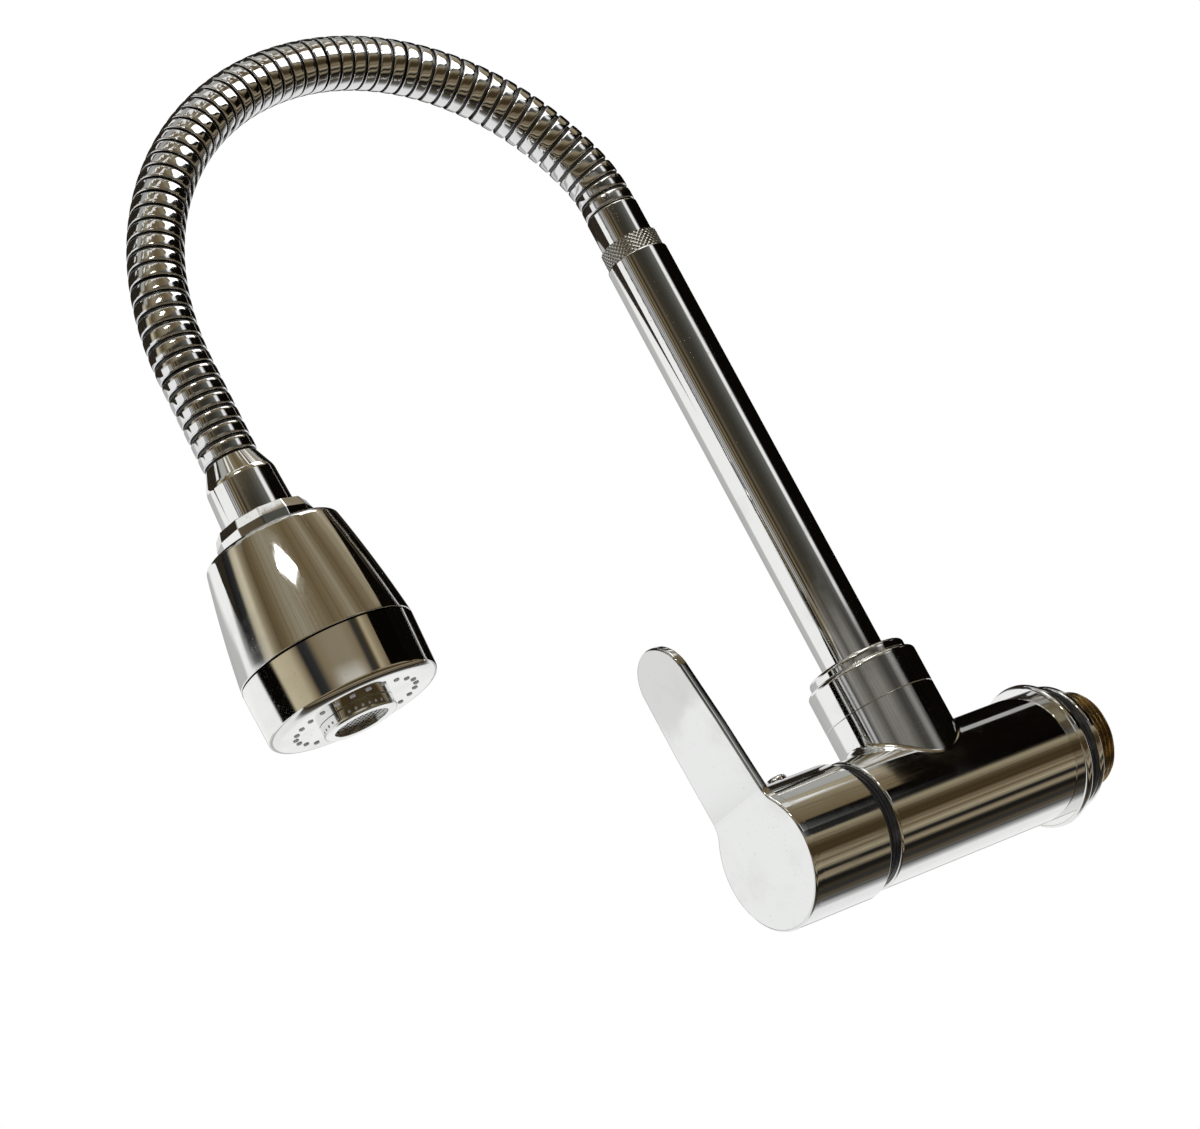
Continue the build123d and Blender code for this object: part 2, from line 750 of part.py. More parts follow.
def selector_ring():
    """The lower ring of the head, which turns to change the spray: side wall, face and hub."""
    outer = turned([(0, selector_base), (selector_base_radius, selector_base),
                    (bell_base_radius, selector_top), (0, selector_top)])
    outer = fillet(outer.edges().filter_by(GeomType.CIRCLE).sort_by(Axis.Z)[0], selector_corner)
    floor = selector_base + selector_plate
    hollow = turned([(0, floor), (selector_base_radius - bell_wall, floor),
                     (bell_base_radius - bell_wall, selector_top + 1), (0, selector_top + 1)])
    hub = ring(core_stub_radius + selector_hub_wall, core_stub_radius + running_fit, selector_base + 1,
               core_bottom - selector_hub_gap)
    lip_low = selector_base + aerator_thread_length + washer_thickness + slip_fit
    collar_radius_out = core_stub_radius + selector_collar_wall
    collar_in = ring(collar_radius_out, aerator_thread_radius + face_gap, selector_base + 1, lip_low)
    lip_bore = aerator_bore - selector_lip_inset
    lip = ring(collar_radius_out, lip_bore, lip_low, lip_low + selector_lip_thickness)
    shell = outer - hollow + hub + collar_in + lip
    shell -= rod(aerator_thread_radius + face_gap, selector_base - 1, lip_low)
    for place in nozzle_places():
        shell -= place * rod(nozzle_radius + face_gap, selector_base - 1, selector_base + selector_plate + 1)
    for turn in range(spray_port_count):
        shell -= spray_port(turn)
    return at_head(shell)


def spray_port(turn):
    """One of the side ports that lead water out to the spray nozzles when the ring is turned."""
    drill = Rot(0, 90, 0) * rod(spray_port_radius, tube_bore - 1, core_stub_radius + spray_port_reach)
    drill = Pos(0, 0, core_bottom - spray_port_drop) * drill
    return Rot(0, 0, 360 * turn / spray_port_count) * drill


def nozzle_places():
    """The places of the spray nozzles, evenly round the aerator."""
    return [Rot(0, 0, 360 * turn / nozzle_count) * Pos(nozzle_circle, 0, 0) for turn in range(nozzle_count)]


def spray_mat():
    """The rubber mat behind the face, with a small nozzle through each hole."""
    low = selector_base + selector_plate + face_gap
    inside = core_stub_radius + selector_hub_wall + slip_fit
    mat = ring(nozzle_circle + mat_margin, inside, low, low + mat_thickness)
    for place in nozzle_places():
        mat += place * rod(nozzle_radius, selector_base - nozzle_reach, low + mat_overlap)
    for place in nozzle_places():
        mat -= place * rod(nozzle_hole_radius, selector_base - 1, low + mat_thickness + 1)
    return at_head(mat)


def aerator_housing():
    """The chromed aerator sleeve that stands out below the face."""
    sleeve = rod(aerator_radius, aerator_end, selector_base - face_gap)
    sleeve = fillet(sleeve.edges().sort_by(Axis.Z)[0], aerator_round)
    top = selector_base + aerator_thread_length
    sleeve += rod(aerator_thread_radius, selector_base - face_gap - 1, top)
    sleeve -= rod(aerator_bore - aerator_lip, aerator_end - 1, top + 1)
    return at_head(sleeve - rod(aerator_bore, mesh_low - slip_fit, top + 1))


def aerator_mesh():
    """The fine screen across the outlet, a disc with a grid of square holes."""
    disc = Circle(aerator_bore - face_gap)
    reach = int(aerator_bore / mesh_pitch)
    holes = []
    for column in range(-reach, reach + 1):
        for row in range(-reach, reach + 1):
            x, y = column * mesh_pitch, row * mesh_pitch
            if math.hypot(abs(x) + mesh_hole / 2, abs(y) + mesh_hole / 2) < aerator_bore - mesh_rim:
                holes.append(Pos(x, y) * Rectangle(mesh_hole, mesh_hole))
    return at_head(Pos(0, 0, mesh_low) * extrude(disc - holes, mesh_thickness))


def aerator_insert():
    """The plastic flow insert above the screen."""
    low = mesh_low + mesh_thickness + face_gap
    insert = ring(aerator_bore - face_gap, aerator_bore - insert_wall, low, low + insert_height)
    plate = rod(aerator_bore - insert_plate_inset, low + insert_plate_low, low + insert_plate_high)
    hole = Pos(insert_hole_circle, 0, 0) * rod(insert_hole_radius, low, low + insert_height)
    for turn in range(insert_hole_count):
        plate -= Rot(0, 0, 360 * turn / insert_hole_count) * hole
    return at_head(insert + plate)


def aerator_washer():
    """The rubber washer that seals the aerator in the selector."""
    low = selector_base + aerator_thread_length
    return at_head(ring(aerator_thread_radius, aerator_bore - washer_inset, low, low + washer_thickness))


# Build and write every node
nodes = {
    "body_casting": body_casting,
    "inlet_stub": inlet_stub,
    "inlet_strainer": inlet_strainer,
    "wall_flange": wall_flange,
    "flange_groove_ring": flange_groove_ring,
    "flange_ring": flange_ring,
    "wall_gasket": wall_gasket,
    "cartridge_base_seal": cartridge_base_seal,
    "cartridge_base": cartridge_base,
    "fixed_disc": fixed_disc,
    "moving_disc": moving_disc,
    "cartridge_carrier": cartridge_carrier,
    "cartridge_stem": cartridge_stem,
    "cartridge_housing": cartridge_housing,
    "cartridge_stem_seal": cartridge_stem_seal,
    "cartridge_nut": cartridge_nut,
    "gap_ring": gap_ring,
    "lever_handle": lever_handle,
    "grub_screw": grub_screw,
    "screw_plug": screw_plug,
    "swivel_nut": swivel_nut,
    "collar": collar,
    "spout_foot": spout_foot,
    "spout_seals": spout_seals,
    "slip_ring": slip_ring,
    "riser_tube": riser_tube,
    "knurled_plug": knurled_plug,
    "upper_ferrule": upper_ferrule,
    "water_tube": water_tube,
    "head_neck": head_neck,
    "grip_ring": grip_ring,
    "bell_shell": bell_shell,
    "head_core": head_core,
    "core_seal": core_seal,
    "selector_ring": selector_ring,
    "spray_mat": spray_mat,
    "aerator_housing": aerator_housing,
    "aerator_mesh": aerator_mesh,
    "aerator_insert": aerator_insert,
    "aerator_washer": aerator_washer,
}
for name, make in nodes.items():
    save(make(), name)
for number in range(span_count):
    save(hose_span(number), "hose_span_" + str(number + 1))

# The joints between the spans, and where the head hangs
for number in range(1, span_count):
    y, z, heading = route_point(number * span_length)
    print("hose joint", number, round(y, 3), round(z, 3), "heading", round(heading, 2))
print("head axis y", round(head_y, 3))
print("hose length", round(hose_length, 2), "rib pitch", round(rib_pitch, 3))
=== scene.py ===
import math
import bpy
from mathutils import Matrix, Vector


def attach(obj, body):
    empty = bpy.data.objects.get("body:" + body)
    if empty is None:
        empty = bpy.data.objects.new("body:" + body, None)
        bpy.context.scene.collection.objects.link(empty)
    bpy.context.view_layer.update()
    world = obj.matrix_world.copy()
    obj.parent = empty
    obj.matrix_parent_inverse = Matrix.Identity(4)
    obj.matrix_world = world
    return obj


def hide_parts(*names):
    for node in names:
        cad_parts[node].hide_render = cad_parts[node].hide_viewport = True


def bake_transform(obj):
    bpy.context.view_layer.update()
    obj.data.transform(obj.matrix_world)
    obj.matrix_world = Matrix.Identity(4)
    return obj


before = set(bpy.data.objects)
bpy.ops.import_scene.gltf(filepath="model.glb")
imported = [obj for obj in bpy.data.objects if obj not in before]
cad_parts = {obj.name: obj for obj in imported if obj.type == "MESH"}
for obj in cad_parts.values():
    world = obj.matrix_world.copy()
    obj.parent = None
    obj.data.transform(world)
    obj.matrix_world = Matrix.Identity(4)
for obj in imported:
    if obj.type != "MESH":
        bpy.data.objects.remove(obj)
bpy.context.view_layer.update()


# The body is one brass casting: a lying barrel with the boss of the spout on top of it. It is
# turned, polished, and plated with nickel and chrome, and it carries every other piece.
def add_node(tree, kind, feeds, **settings):
    """A node with its settings. Each feed, by name or number, is a socket to link or a value to set."""
    made = tree.nodes.new(kind)
    for key, value in settings.items():
        setattr(made, key, value)
    for key, value in feeds.items():
        if isinstance(value, bpy.types.NodeSocket):
            tree.links.new(value, made.inputs[key])
        else:
            made.inputs[key].default_value = value
    return made


def maths(tree, operation, first, second=0.0, third=0.0):
    """One sum on two or three numbers or sockets."""
    return add_node(tree, "ShaderNodeMath", {0: first, 1: second, 2: third}, operation=operation).outputs[0]


def rise(tree, value, low, high):
    """0 below low, 1 above high, and a smooth rise between them."""
    feeds = {0: value, 1: low, 2: high}
    return add_node(tree, "ShaderNodeMapRange", feeds, interpolation_type="SMOOTHSTEP").outputs[0]


def mixed(tree, share, first, second):
    """A colour between two others."""
    return add_node(tree, "ShaderNodeMix", {0: share, 6: first, 7: second}, data_type="RGBA").outputs[2]


def noise(tree, place, scale, detail=2.0, rough=0.5):
    """A cloudy value from 0 to 1."""
    feeds = {"Vector": place, "Scale": scale, "Detail": detail, "Roughness": rough}
    return add_node(tree, "ShaderNodeTexNoise", feeds).outputs["Fac"]


def new_group(name, inputs, outputs):
    """A node group with named inputs and outputs, its input sockets and its output sockets."""
    group = bpy.data.node_groups.new(name, "ShaderNodeTree")
    for label, kind, value in inputs:
        group.interface.new_socket(name=label, in_out="INPUT", socket_type=kind).default_value = value
    for label, kind in outputs:
        group.interface.new_socket(name=label, in_out="OUTPUT", socket_type=kind)
    return group, group.nodes.new("NodeGroupInput").outputs, group.nodes.new("NodeGroupOutput").inputs


# handling marks: wiped smudges, fine dust and a faint unevenness of the polish
smudge_scale, dust_scale, wave_scale = 42, 1500, 95
smudge_tone, dust_tone = (0.42, 0.41, 0.38, 1), (0.3, 0.29, 0.27, 1)
smudge_share, dust_share, dust_roughness = 0.16, 0.5, 0.2
handling_marks, given, result = new_group(
    "handling marks",
    [("Place", "NodeSocketVector", (0, 0, 0)), ("Colour", "NodeSocketColor", (0.8, 0.8, 0.8, 1)),
     ("Roughness", "NodeSocketFloat", 0.06), ("Smudge", "NodeSocketFloat", 0.1)],
    [("Colour", "NodeSocketColor"), ("Roughness", "NodeSocketFloat"), ("Height", "NodeSocketFloat")])
wiped = rise(handling_marks, noise(handling_marks, given["Place"], smudge_scale, 5, 0.6), 0.48, 0.72)
dust = rise(handling_marks, noise(handling_marks, given["Place"], dust_scale, 1), 0.72, 0.8)
uneven = noise(handling_marks, given["Place"], wave_scale, 2)
smudges = maths(handling_marks, "MULTIPLY", wiped, smudge_share)
darker = mixed(handling_marks, smudges, given["Colour"], smudge_tone)
dusty = mixed(handling_marks, maths(handling_marks, "MULTIPLY", dust, dust_share), darker, dust_tone)
handling_marks.links.new(dusty, result["Colour"])
smudged = maths(handling_marks, "MULTIPLY", wiped, given["Smudge"])
speckled = maths(handling_marks, "MULTIPLY_ADD", dust, dust_roughness, smudged)
rougher = maths(handling_marks, "ADD", given["Roughness"], speckled)
handling_marks.links.new(rougher, result["Roughness"])
handling_marks.links.new(uneven, result["Height"])

# drawn lines: the fine lines that turning and polishing leave along or round a piece
drawn_lines, given, result = new_group(
    "drawn lines",
    [("Place", "NodeSocketVector", (0, 0, 0)), ("Stretch", "NodeSocketVector", (1, 1, 1)),
     ("Fineness", "NodeSocketFloat", 1400.0)],
    [("Lines", "NodeSocketFloat")])
feeds = {0: given["Place"], 1: given["Stretch"]}
stretched = add_node(drawn_lines, "ShaderNodeVectorMath", feeds, operation="MULTIPLY").outputs[0]
drawn_lines.links.new(noise(drawn_lines, stretched, given["Fineness"], 3, 0.6), result["Lines"])


def new_finish(name):
    """A material, its tree, its shader and the place of each point on the piece."""
    material = bpy.data.materials.new(name)
    material.use_nodes = True
    tree = material.node_tree
    place = tree.nodes.new("ShaderNodeTexCoord").outputs["Object"]
    return material, tree, tree.nodes["Principled BSDF"], place


def plated(name, stretch, colour=(0.83, 0.83, 0.82, 1), roughness=0.045, smudge=0.07, lines=0.03, wave=0.018):
    """Polished metal with handling marks and fine lines that run long where stretch is small."""
    material, tree, shader, place = new_finish(name)
    shader.inputs["Metallic"].default_value = 1.0
    marks = add_node(tree, "ShaderNodeGroup", {}, node_tree=handling_marks)
    tree.links.new(place, marks.inputs["Place"])
    marks.inputs["Colour"].default_value = colour
    marks.inputs["Roughness"].default_value = roughness
    marks.inputs["Smudge"].default_value = smudge
    drawn = add_node(tree, "ShaderNodeGroup", {}, node_tree=drawn_lines)
    tree.links.new(place, drawn.inputs["Place"])
    drawn.inputs["Stretch"].default_value = stretch
    fine = maths(tree, "MULTIPLY", rise(tree, drawn.outputs["Lines"], 0.5, 0.7), lines)
    tree.links.new(marks.outputs["Colour"], shader.inputs["Base Color"])
    tree.links.new(maths(tree, "ADD", marks.outputs["Roughness"], fine), shader.inputs["Roughness"])
    waves = maths(tree, "MULTIPLY", marks.outputs["Height"], wave)
    relief = maths(tree, "MULTIPLY_ADD", drawn.outputs["Lines"], lines * 0.02, waves)
    bump = add_node(tree, "ShaderNodeBump", {"Strength": 0.35, "Distance": 0.001, "Height": relief})
    tree.links.new(bump.outputs["Normal"], shader.inputs["Normal"])
    return material


def give(node, material):
    """Give a carried-over CAD node its finish."""
    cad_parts[node].material_slots[0].material = material


give("body_casting", plated("body chrome", (1, 0.02, 1)))

# The wall end: a chromed ring against the body, a wide black rubber ring, a thinner chromed ring
# and a flat rubber gasket on the wall, all slipped over the inlet stub and drawn tight by it.
mm = 0.001
round_steps = 128


def select_points(piece, places):
    """Go to edit mode with only the points of a piece that lie nearest to the places selected."""
    bpy.ops.object.mode_set(mode="EDIT")
    bpy.ops.mesh.select_mode(type="VERT")
    bpy.ops.mesh.select_all(action="DESELECT")
    bpy.ops.object.mode_set(mode="OBJECT")
    for place in places:
        min(piece.data.vertices, key=lambda point: (point.co - place).length).select = True
    bpy.ops.object.mode_set(mode="EDIT")


def draw(name, places, closed=True):
    """A line drawn point by point, as a new object in edit mode."""
    bpy.ops.object.select_all(action="DESELECT")
    bpy.ops.mesh.primitive_plane_add(size=mm)
    piece = bpy.context.object
    piece.name = piece.data.name = name
    bpy.ops.object.mode_set(mode="EDIT")
    bpy.ops.mesh.select_mode(type="VERT")
    bpy.ops.mesh.merge(type="CENTER")
    bpy.ops.transform.translate(value=places[0])
    for start, end in zip(places, places[1:]):
        bpy.ops.mesh.extrude_vertices_move(TRANSFORM_OT_translate={"value": end - start})
    bpy.ops.object.mode_set(mode="OBJECT")
    if closed:
        select_points(piece, (places[0], places[-1]))
        bpy.ops.mesh.edge_face_add()
    bpy.ops.object.mode_set(mode="EDIT")
    return piece


def close_up(piece):
    """Merge what meets, turn the faces outwards and leave edit mode."""
    bpy.ops.mesh.select_all(action="SELECT")
    bpy.ops.mesh.remove_doubles(threshold=1e-6)
    bpy.ops.mesh.normals_make_consistent(inside=False)
    bpy.ops.object.mode_set(mode="OBJECT")
    return piece


def turn(name, outline, rounds=(), lying=False, axis_y=0.0, steps=96, closed=True):
    """A piece from the lathe. Its half outline, (radius, place along the axis) in millimetres, is drawn,
    its corners in rounds, (corner, radius), are rounded, and it is spun, lying along Y or upright."""
    if lying:
        places = [Vector((radius, along, 0)) * mm for radius, along in outline]
        centre, axis = (0, 0, 0), (0, 1, 0)
    else:
        places = [Vector((radius, axis_y, along)) * mm for radius, along in outline]
        centre, axis = (0, axis_y * mm, 0), (0, 0, 1)
    piece = draw(name, places, closed)
    for corner, radius in rounds:
        select_points(piece, (places[corner],))
        segments = 4 if radius < 1.0 else 7
        bpy.ops.mesh.bevel(offset=radius * mm, offset_type="OFFSET", segments=segments, affect="VERTICES")
    bpy.ops.mesh.select_all(action="SELECT")
    bpy.ops.mesh.spin(steps=steps, angle=2 * math.pi, center=centre, axis=axis)
    return close_up(piece)


def ring_of(inner, outer, low, high):
    """The half outline of a plain ring between two radii and two ends."""
    return [(inner, low), (outer, low), (outer, high), (inner, high)]


def pick(piece):
    """Select one piece alone and make it the active one."""
    bpy.ops.object.select_all(action="DESELECT")
    piece.select_set(True)
    bpy.context.view_layer.objects.active = piece


def change(piece, kind, **settings):
    """Add a modifier with its settings to a piece and apply it."""
    pick(piece)
    bpy.ops.object.modifier_add(type=kind)
    for key, value in settings.items():
        setattr(piece.modifiers[-1], key, value)
    bpy.ops.object.modifier_apply(modifier=piece.modifiers[-1].name)


def make_smooth(piece, angle=0.6):
    """Smooth shading that breaks at sharp edges and follows the large faces."""
    pick(piece)
    bpy.ops.object.shade_smooth_by_angle(angle=angle)
    change(piece, "WEIGHTED_NORMAL", keep_sharp=True)


def dress(piece, material, slot, body, *nodes):
    """Give a finished piece its material and its body, and hide the CAD nodes that it stands for. The slot is not
    used.
    """
    piece.data.materials.append(material)
    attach(piece, body)
    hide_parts(*nodes)


def soft_black(name, colour, roughness, grain):
    """Black rubber or plastic with a fine grain and a little pale dust."""
    material, tree, shader, place = new_finish(name)
    cloud = noise(tree, place, 120, 4, 0.6)
    share = maths(tree, "MULTIPLY", rise(tree, cloud, 0.5, 0.8), 0.25)
    tree.links.new(mixed(tree, share, colour, (0.16, 0.155, 0.15, 1)), shader.inputs["Base Color"])
    tree.links.new(maths(tree, "MULTIPLY_ADD", cloud, 0.12, roughness), shader.inputs["Roughness"])
    feeds = {"Strength": 0.4, "Distance": 0.0002, "Height": noise(tree, place, grain, 2)}
    tree.links.new(add_node(tree, "ShaderNodeBump", feeds).outputs["Normal"], shader.inputs["Normal"])
    return material


black_rubber = soft_black("black rubber", (0.014, 0.014, 0.015, 1), 0.42, 2600)
round_chrome = plated("turned chrome", (1, 1, 1), smudge=0.05, lines=0.05)
stub_seat, body_end, flange_end, rubber_end, thin_end = 16.7, -13.5, -10.5, -4.5, -2.0
flange_radius, thin_radius, gasket_radius, rubber_radius, groove_radius = 24.6, 21.6, 19.0, 21.4, 20.9
for name, radius, start, end, edge, material, slot, node in (
        ("wall_ring", flange_radius, body_end, flange_end, 1.2, round_chrome, "chrome", "wall_flange"),
        ("thin_ring", thin_radius, rubber_end, thin_end, 0.8, round_chrome, "chrome", "flange_ring"),
        ("gasket", gasket_radius, thin_end, 0.0, 0.6, black_rubber, "rubber", "wall_gasket")):
    outline = ring_of(stub_seat, radius, start, end)
    ring = turn(name, outline, [(1, edge), (2, edge)], lying=True, steps=round_steps)
    make_smooth(ring)
    dress(ring, material, slot, "tap_body", node)
grooved = [(stub_seat, flange_end), (rubber_radius, flange_end)]
for middle in (-8.2, -6.7):
    grooved += [(rubber_radius, middle - 0.5), (groove_radius, middle - 0.2), (groove_radius, middle + 0.2),
                (rubber_radius, middle + 0.5)]
grooved += [(rubber_radius, rubber_end), (stub_seat, rubber_end)]
rubber_ring = turn("rubber_ring", grooved, [(1, 0.5), (10, 0.5)], lying=True, steps=round_steps)
make_smooth(rubber_ring)
dress(rubber_ring, black_rubber, "rubber", "tap_body", "flange_groove_ring")


# The inlet stub is bare brass, screwed and sealed into the back of the body. It has a fine thread
# outside and a half-inch pipe thread inside, and a perforated steel strainer sits across its waterway.
def bare_brass(name, stretch):
    """Machined brass, tarnished brown in cloudy patches."""
    material, tree, shader, place = new_finish(name)
    shader.inputs["Metallic"].default_value = 1.0
    stain = rise(tree, noise(tree, place, 160, 5, 0.65), 0.42, 0.66)
    tarnished = mixed(tree, stain, (0.62, 0.47, 0.25, 1), (0.27, 0.19, 0.1, 1))
    tree.links.new(tarnished, shader.inputs["Base Color"])
    tree.links.new(maths(tree, "MULTIPLY_ADD", stain, 0.2, 0.22), shader.inputs["Roughness"])
    drawn = add_node(tree, "ShaderNodeGroup", {}, node_tree=drawn_lines)
    tree.links.new(place, drawn.inputs["Place"])
    drawn.inputs["Stretch"].default_value = stretch
    feeds = {"Strength": 0.25, "Distance": 0.0001, "Height": drawn.outputs["Lines"]}
    tree.links.new(add_node(tree, "ShaderNodeBump", feeds).outputs["Normal"], shader.inputs["Normal"])
    return material


turned_brass = bare_brass("turned brass", (0.05, 1, 0.05))
thread_pitch, thread_root, thread_crest, thread_start, stub_end = 1.75, 15.5, 16.6, 0.3, 9.0
flank_peak, flank_slope, lead_in, lead_out = 1.55, 4.4, 0.8, 0.6
stub_start, stub_radius, water_bore, inlet_bore, inlet_depth, mouth = -27.5, 14.95, 7.5, 9.32, -6.0, 9.8
rings = [(thread_root, thread_start + thread_pitch / 10 * step) for step in range(49)]
stub = turn("threaded_stub", [(water_bore, stub_start), (stub_radius, stub_start), (stub_radius, body_end),
                              (thread_root, body_end), *rings, (thread_root, stub_end), (mouth, stub_end),
                              (inlet_bore, stub_end - 0.5), (inlet_bore, inlet_depth), (water_bore, inlet_depth)],
            lying=True)
for point in stub.data.vertices:
    radius = math.hypot(point.co.x, point.co.z) / mm
    along = point.co.y / mm
    if radius > thread_root - 0.1 and along > thread_start + 0.05:
        phase = (along / thread_pitch - math.atan2(point.co.z, point.co.x) / (2 * math.pi)) % 1.0
        flank = min(1.0, max(0.0, flank_peak - flank_slope * abs(phase - 0.5)))
        faded = min(1.0, (along - thread_start) / lead_in, max(0.0, (stub_end - along) / lead_out))
        grown = (thread_root + (thread_crest - thread_root) * flank * faded) / radius
        point.co.x *= grown
        point.co.z *= grown
make_smooth(stub, 0.5)
dress(stub, turned_brass, "brass", "tap_body", "inlet_stub")


def bare_steel(name):
    """Bare stainless steel, dull and a little cloudy."""
    material, tree, shader, place = new_finish(name)
    shader.inputs["Metallic"].default_value = 1.0
    cloud = noise(tree, place, 300, 4)
    tree.links.new(mixed(tree, cloud, (0.62, 0.62, 0.61, 1), (0.4, 0.4, 0.4, 1)), shader.inputs["Base Color"])
    tree.links.new(maths(tree, "MULTIPLY_ADD", cloud, 0.25, 0.18), shader.inputs["Roughness"])
    return material


steel = bare_steel("bare steel")
give("inlet_strainer", steel)


# The cartridge stands in the body's cavity under the handle: a white plastic shell with two ceramic
# discs, a driver, a brass stem and rubber seals, held down by a brass nut with a hexagon.
def smooth_solid(name, colour, second, roughness, scale):
    """Moulded plastic or lapped ceramic with a faint cloud in it."""
    material, tree, shader, place = new_finish(name)
    cloud = noise(tree, place, scale, 4)
    tree.links.new(mixed(tree, cloud, colour, second), shader.inputs["Base Color"])
    tree.links.new(maths(tree, "MULTIPLY_ADD", cloud, 0.15, roughness), shader.inputs["Roughness"])
    return material


white_plastic = smooth_solid("white plastic", (0.8, 0.79, 0.76, 1), (0.72, 0.71, 0.67, 1), 0.38, 180)
ceramic = smooth_solid("ceramic", (0.86, 0.85, 0.81, 1), (0.8, 0.78, 0.73, 1), 0.12, 400)
nut_brass = bare_brass("nut brass", (1, 0.05, 1))
for material, nodes in ((white_plastic, ("cartridge_housing", "cartridge_base", "cartridge_carrier")),
                        (ceramic, ("fixed_disc", "moving_disc")),
                        (nut_brass, ("cartridge_stem", "cartridge_nut")),
                        (black_rubber, ("cartridge_base_seal", "cartridge_stem_seal"))):
    for node in nodes:
        give(node, material)

# The black ring fills the gap between the body and the handle. It is moulded plastic with three
# fine grooves, and it stays with the body while the handle turns against it.
black_plastic = soft_black("black plastic", (0.012, 0.012, 0.013, 1), 0.3, 1800)
gap_bore, gap_radius, gap_groove, gap_back, gap_front = 19.05, 20.2, 19.85, -95.5, -100.9
outline = [(gap_bore, gap_back), (gap_radius, gap_back)]
for middle in (-96.8, -98.2, -99.6):
    outline += [(gap_radius, middle + 0.3), (gap_groove, middle + 0.15), (gap_groove, middle - 0.15),
                (gap_radius, middle - 0.3)]
outline += [(gap_radius, gap_front), (gap_bore, gap_front)]
gap_ring = turn("grooved_gap_ring", outline, lying=True, steps=round_steps)
make_smooth(gap_ring, 0.5)
dress(gap_ring, black_plastic, "black_plastic", "tap_body", "gap_ring")

# The handle is one zinc die casting, polished and chromed: a cap over the cartridge, and a flat
# paddle lever that rises from the cap's front disc and leans away from the wall. Its edges are rounded.
handle_radius, handle_front, handle_back, plate = 22.8, -133.7, -101.3, 3.4
root_half, middle_half, middle_height, tip_radius, reach, corner = 16.0, 14.0, 45.0, 12.5, 77.2, 9.0
disc_steps, corner_steps, tip_steps = 28, 8, 20
side = Vector((middle_half - root_half, middle_height)).normalized()
outward = Vector((side.y, -side.x))
along_side = math.sqrt((handle_radius + corner) ** 2 - (Vector((root_half, 0)).dot(outward) + corner) ** 2)
hollow = outward * (Vector((root_half, 0)).dot(outward) + corner) + side * along_side
disc_angle = math.atan2(hollow.y, hollow.x)
right = []
for step in range(disc_steps + 1):
    angle = -math.pi / 2 + (disc_angle + math.pi / 2) * step / disc_steps
    right.append(Vector((math.cos(angle), math.sin(angle))) * handle_radius)
end_angle = math.atan2(-outward.y, -outward.x)
start_angle = disc_angle - math.pi
for step in range(1, corner_steps + 1):
    angle = start_angle + (end_angle % (2 * math.pi) - start_angle % (2 * math.pi)) * step / corner_steps
    right.append(hollow + Vector((math.cos(angle), math.sin(angle))) * corner)
right.append(Vector((middle_half, middle_height)))
for step in range(tip_steps):
    angle = math.pi / 2 * step / tip_steps
    right.append(Vector((tip_radius * math.cos(angle), reach - tip_radius + tip_radius * math.sin(angle))))
left = [Vector((-point.x, point.y)) for point in reversed(right[1:])]
edge_line = right + [Vector((0, reach))] + left
lever = draw("cap_and_lever", [Vector((point.x, handle_front, point.y)) * mm for point in edge_line])
bpy.ops.mesh.select_all(action="SELECT")
bpy.ops.mesh.edge_face_add()
bpy.ops.mesh.select_all(action="SELECT")
bpy.ops.mesh.extrude_region_move(TRANSFORM_OT_translate={"value": (0, plate * mm, 0)})


def select_edges(piece, wanted):
    """Stay in edit mode with only the edges selected whose two ends are wanted."""
    bpy.ops.mesh.select_mode(type="EDGE")
    bpy.ops.mesh.select_all(action="DESELECT")
    bpy.ops.object.mode_set(mode="OBJECT")
    for edge in piece.data.edges:
        if wanted(*(piece.data.vertices[index].co for index in edge.vertices)):
            edge.select = True
    bpy.ops.object.mode_set(mode="EDIT")


def on_front(one, two):
    """Whether an edge lies in the front face of the handle."""
    return max(one.y, two.y) < (handle_front + 0.1) * mm


def behind_paddle(one, two):
    """Whether an edge lies in the back face of the paddle, clear of the disc."""
    clear = min(math.hypot(one.x, one.z), math.hypot(two.x, two.z)) > (handle_radius + 0.6) * mm
    return clear and min(one.y, two.y) > (handle_front + plate - 0.1) * mm


front_round, back_round = 0.9, 0.8
select_edges(lever, on_front)
bpy.ops.mesh.bevel(offset=front_round * mm, offset_type="OFFSET", segments=5)
select_edges(lever, behind_paddle)
bpy.ops.mesh.bevel(offset=back_round * mm, offset_type="OFFSET", segments=4)
lean, lean_low, lean_high = math.tan(math.radians(4.0)), 8, 20
for height in range(lean_low, lean_high + 2, 2):
    bpy.ops.mesh.select_all(action="SELECT")
    bpy.ops.mesh.bisect(plane_co=(0, 0, height * mm), plane_no=(0, 0, 1))
close_up(lever)
for point in lever.data.vertices:
    height = point.co.z / mm
    eased = (min(max(height, lean_low), lean_high) - lean_low) ** 2 / (2 * (lean_high - lean_low))
    point.co.y -= lean * (eased + max(height - lean_high, 0.0)) * mm


def combine(piece, other, operation):
    """Add another solid to a piece or cut it away, and remove the other."""
    change(piece, "BOOLEAN", operation=operation, object=other, solver="EXACT")
    bpy.data.objects.remove(other)


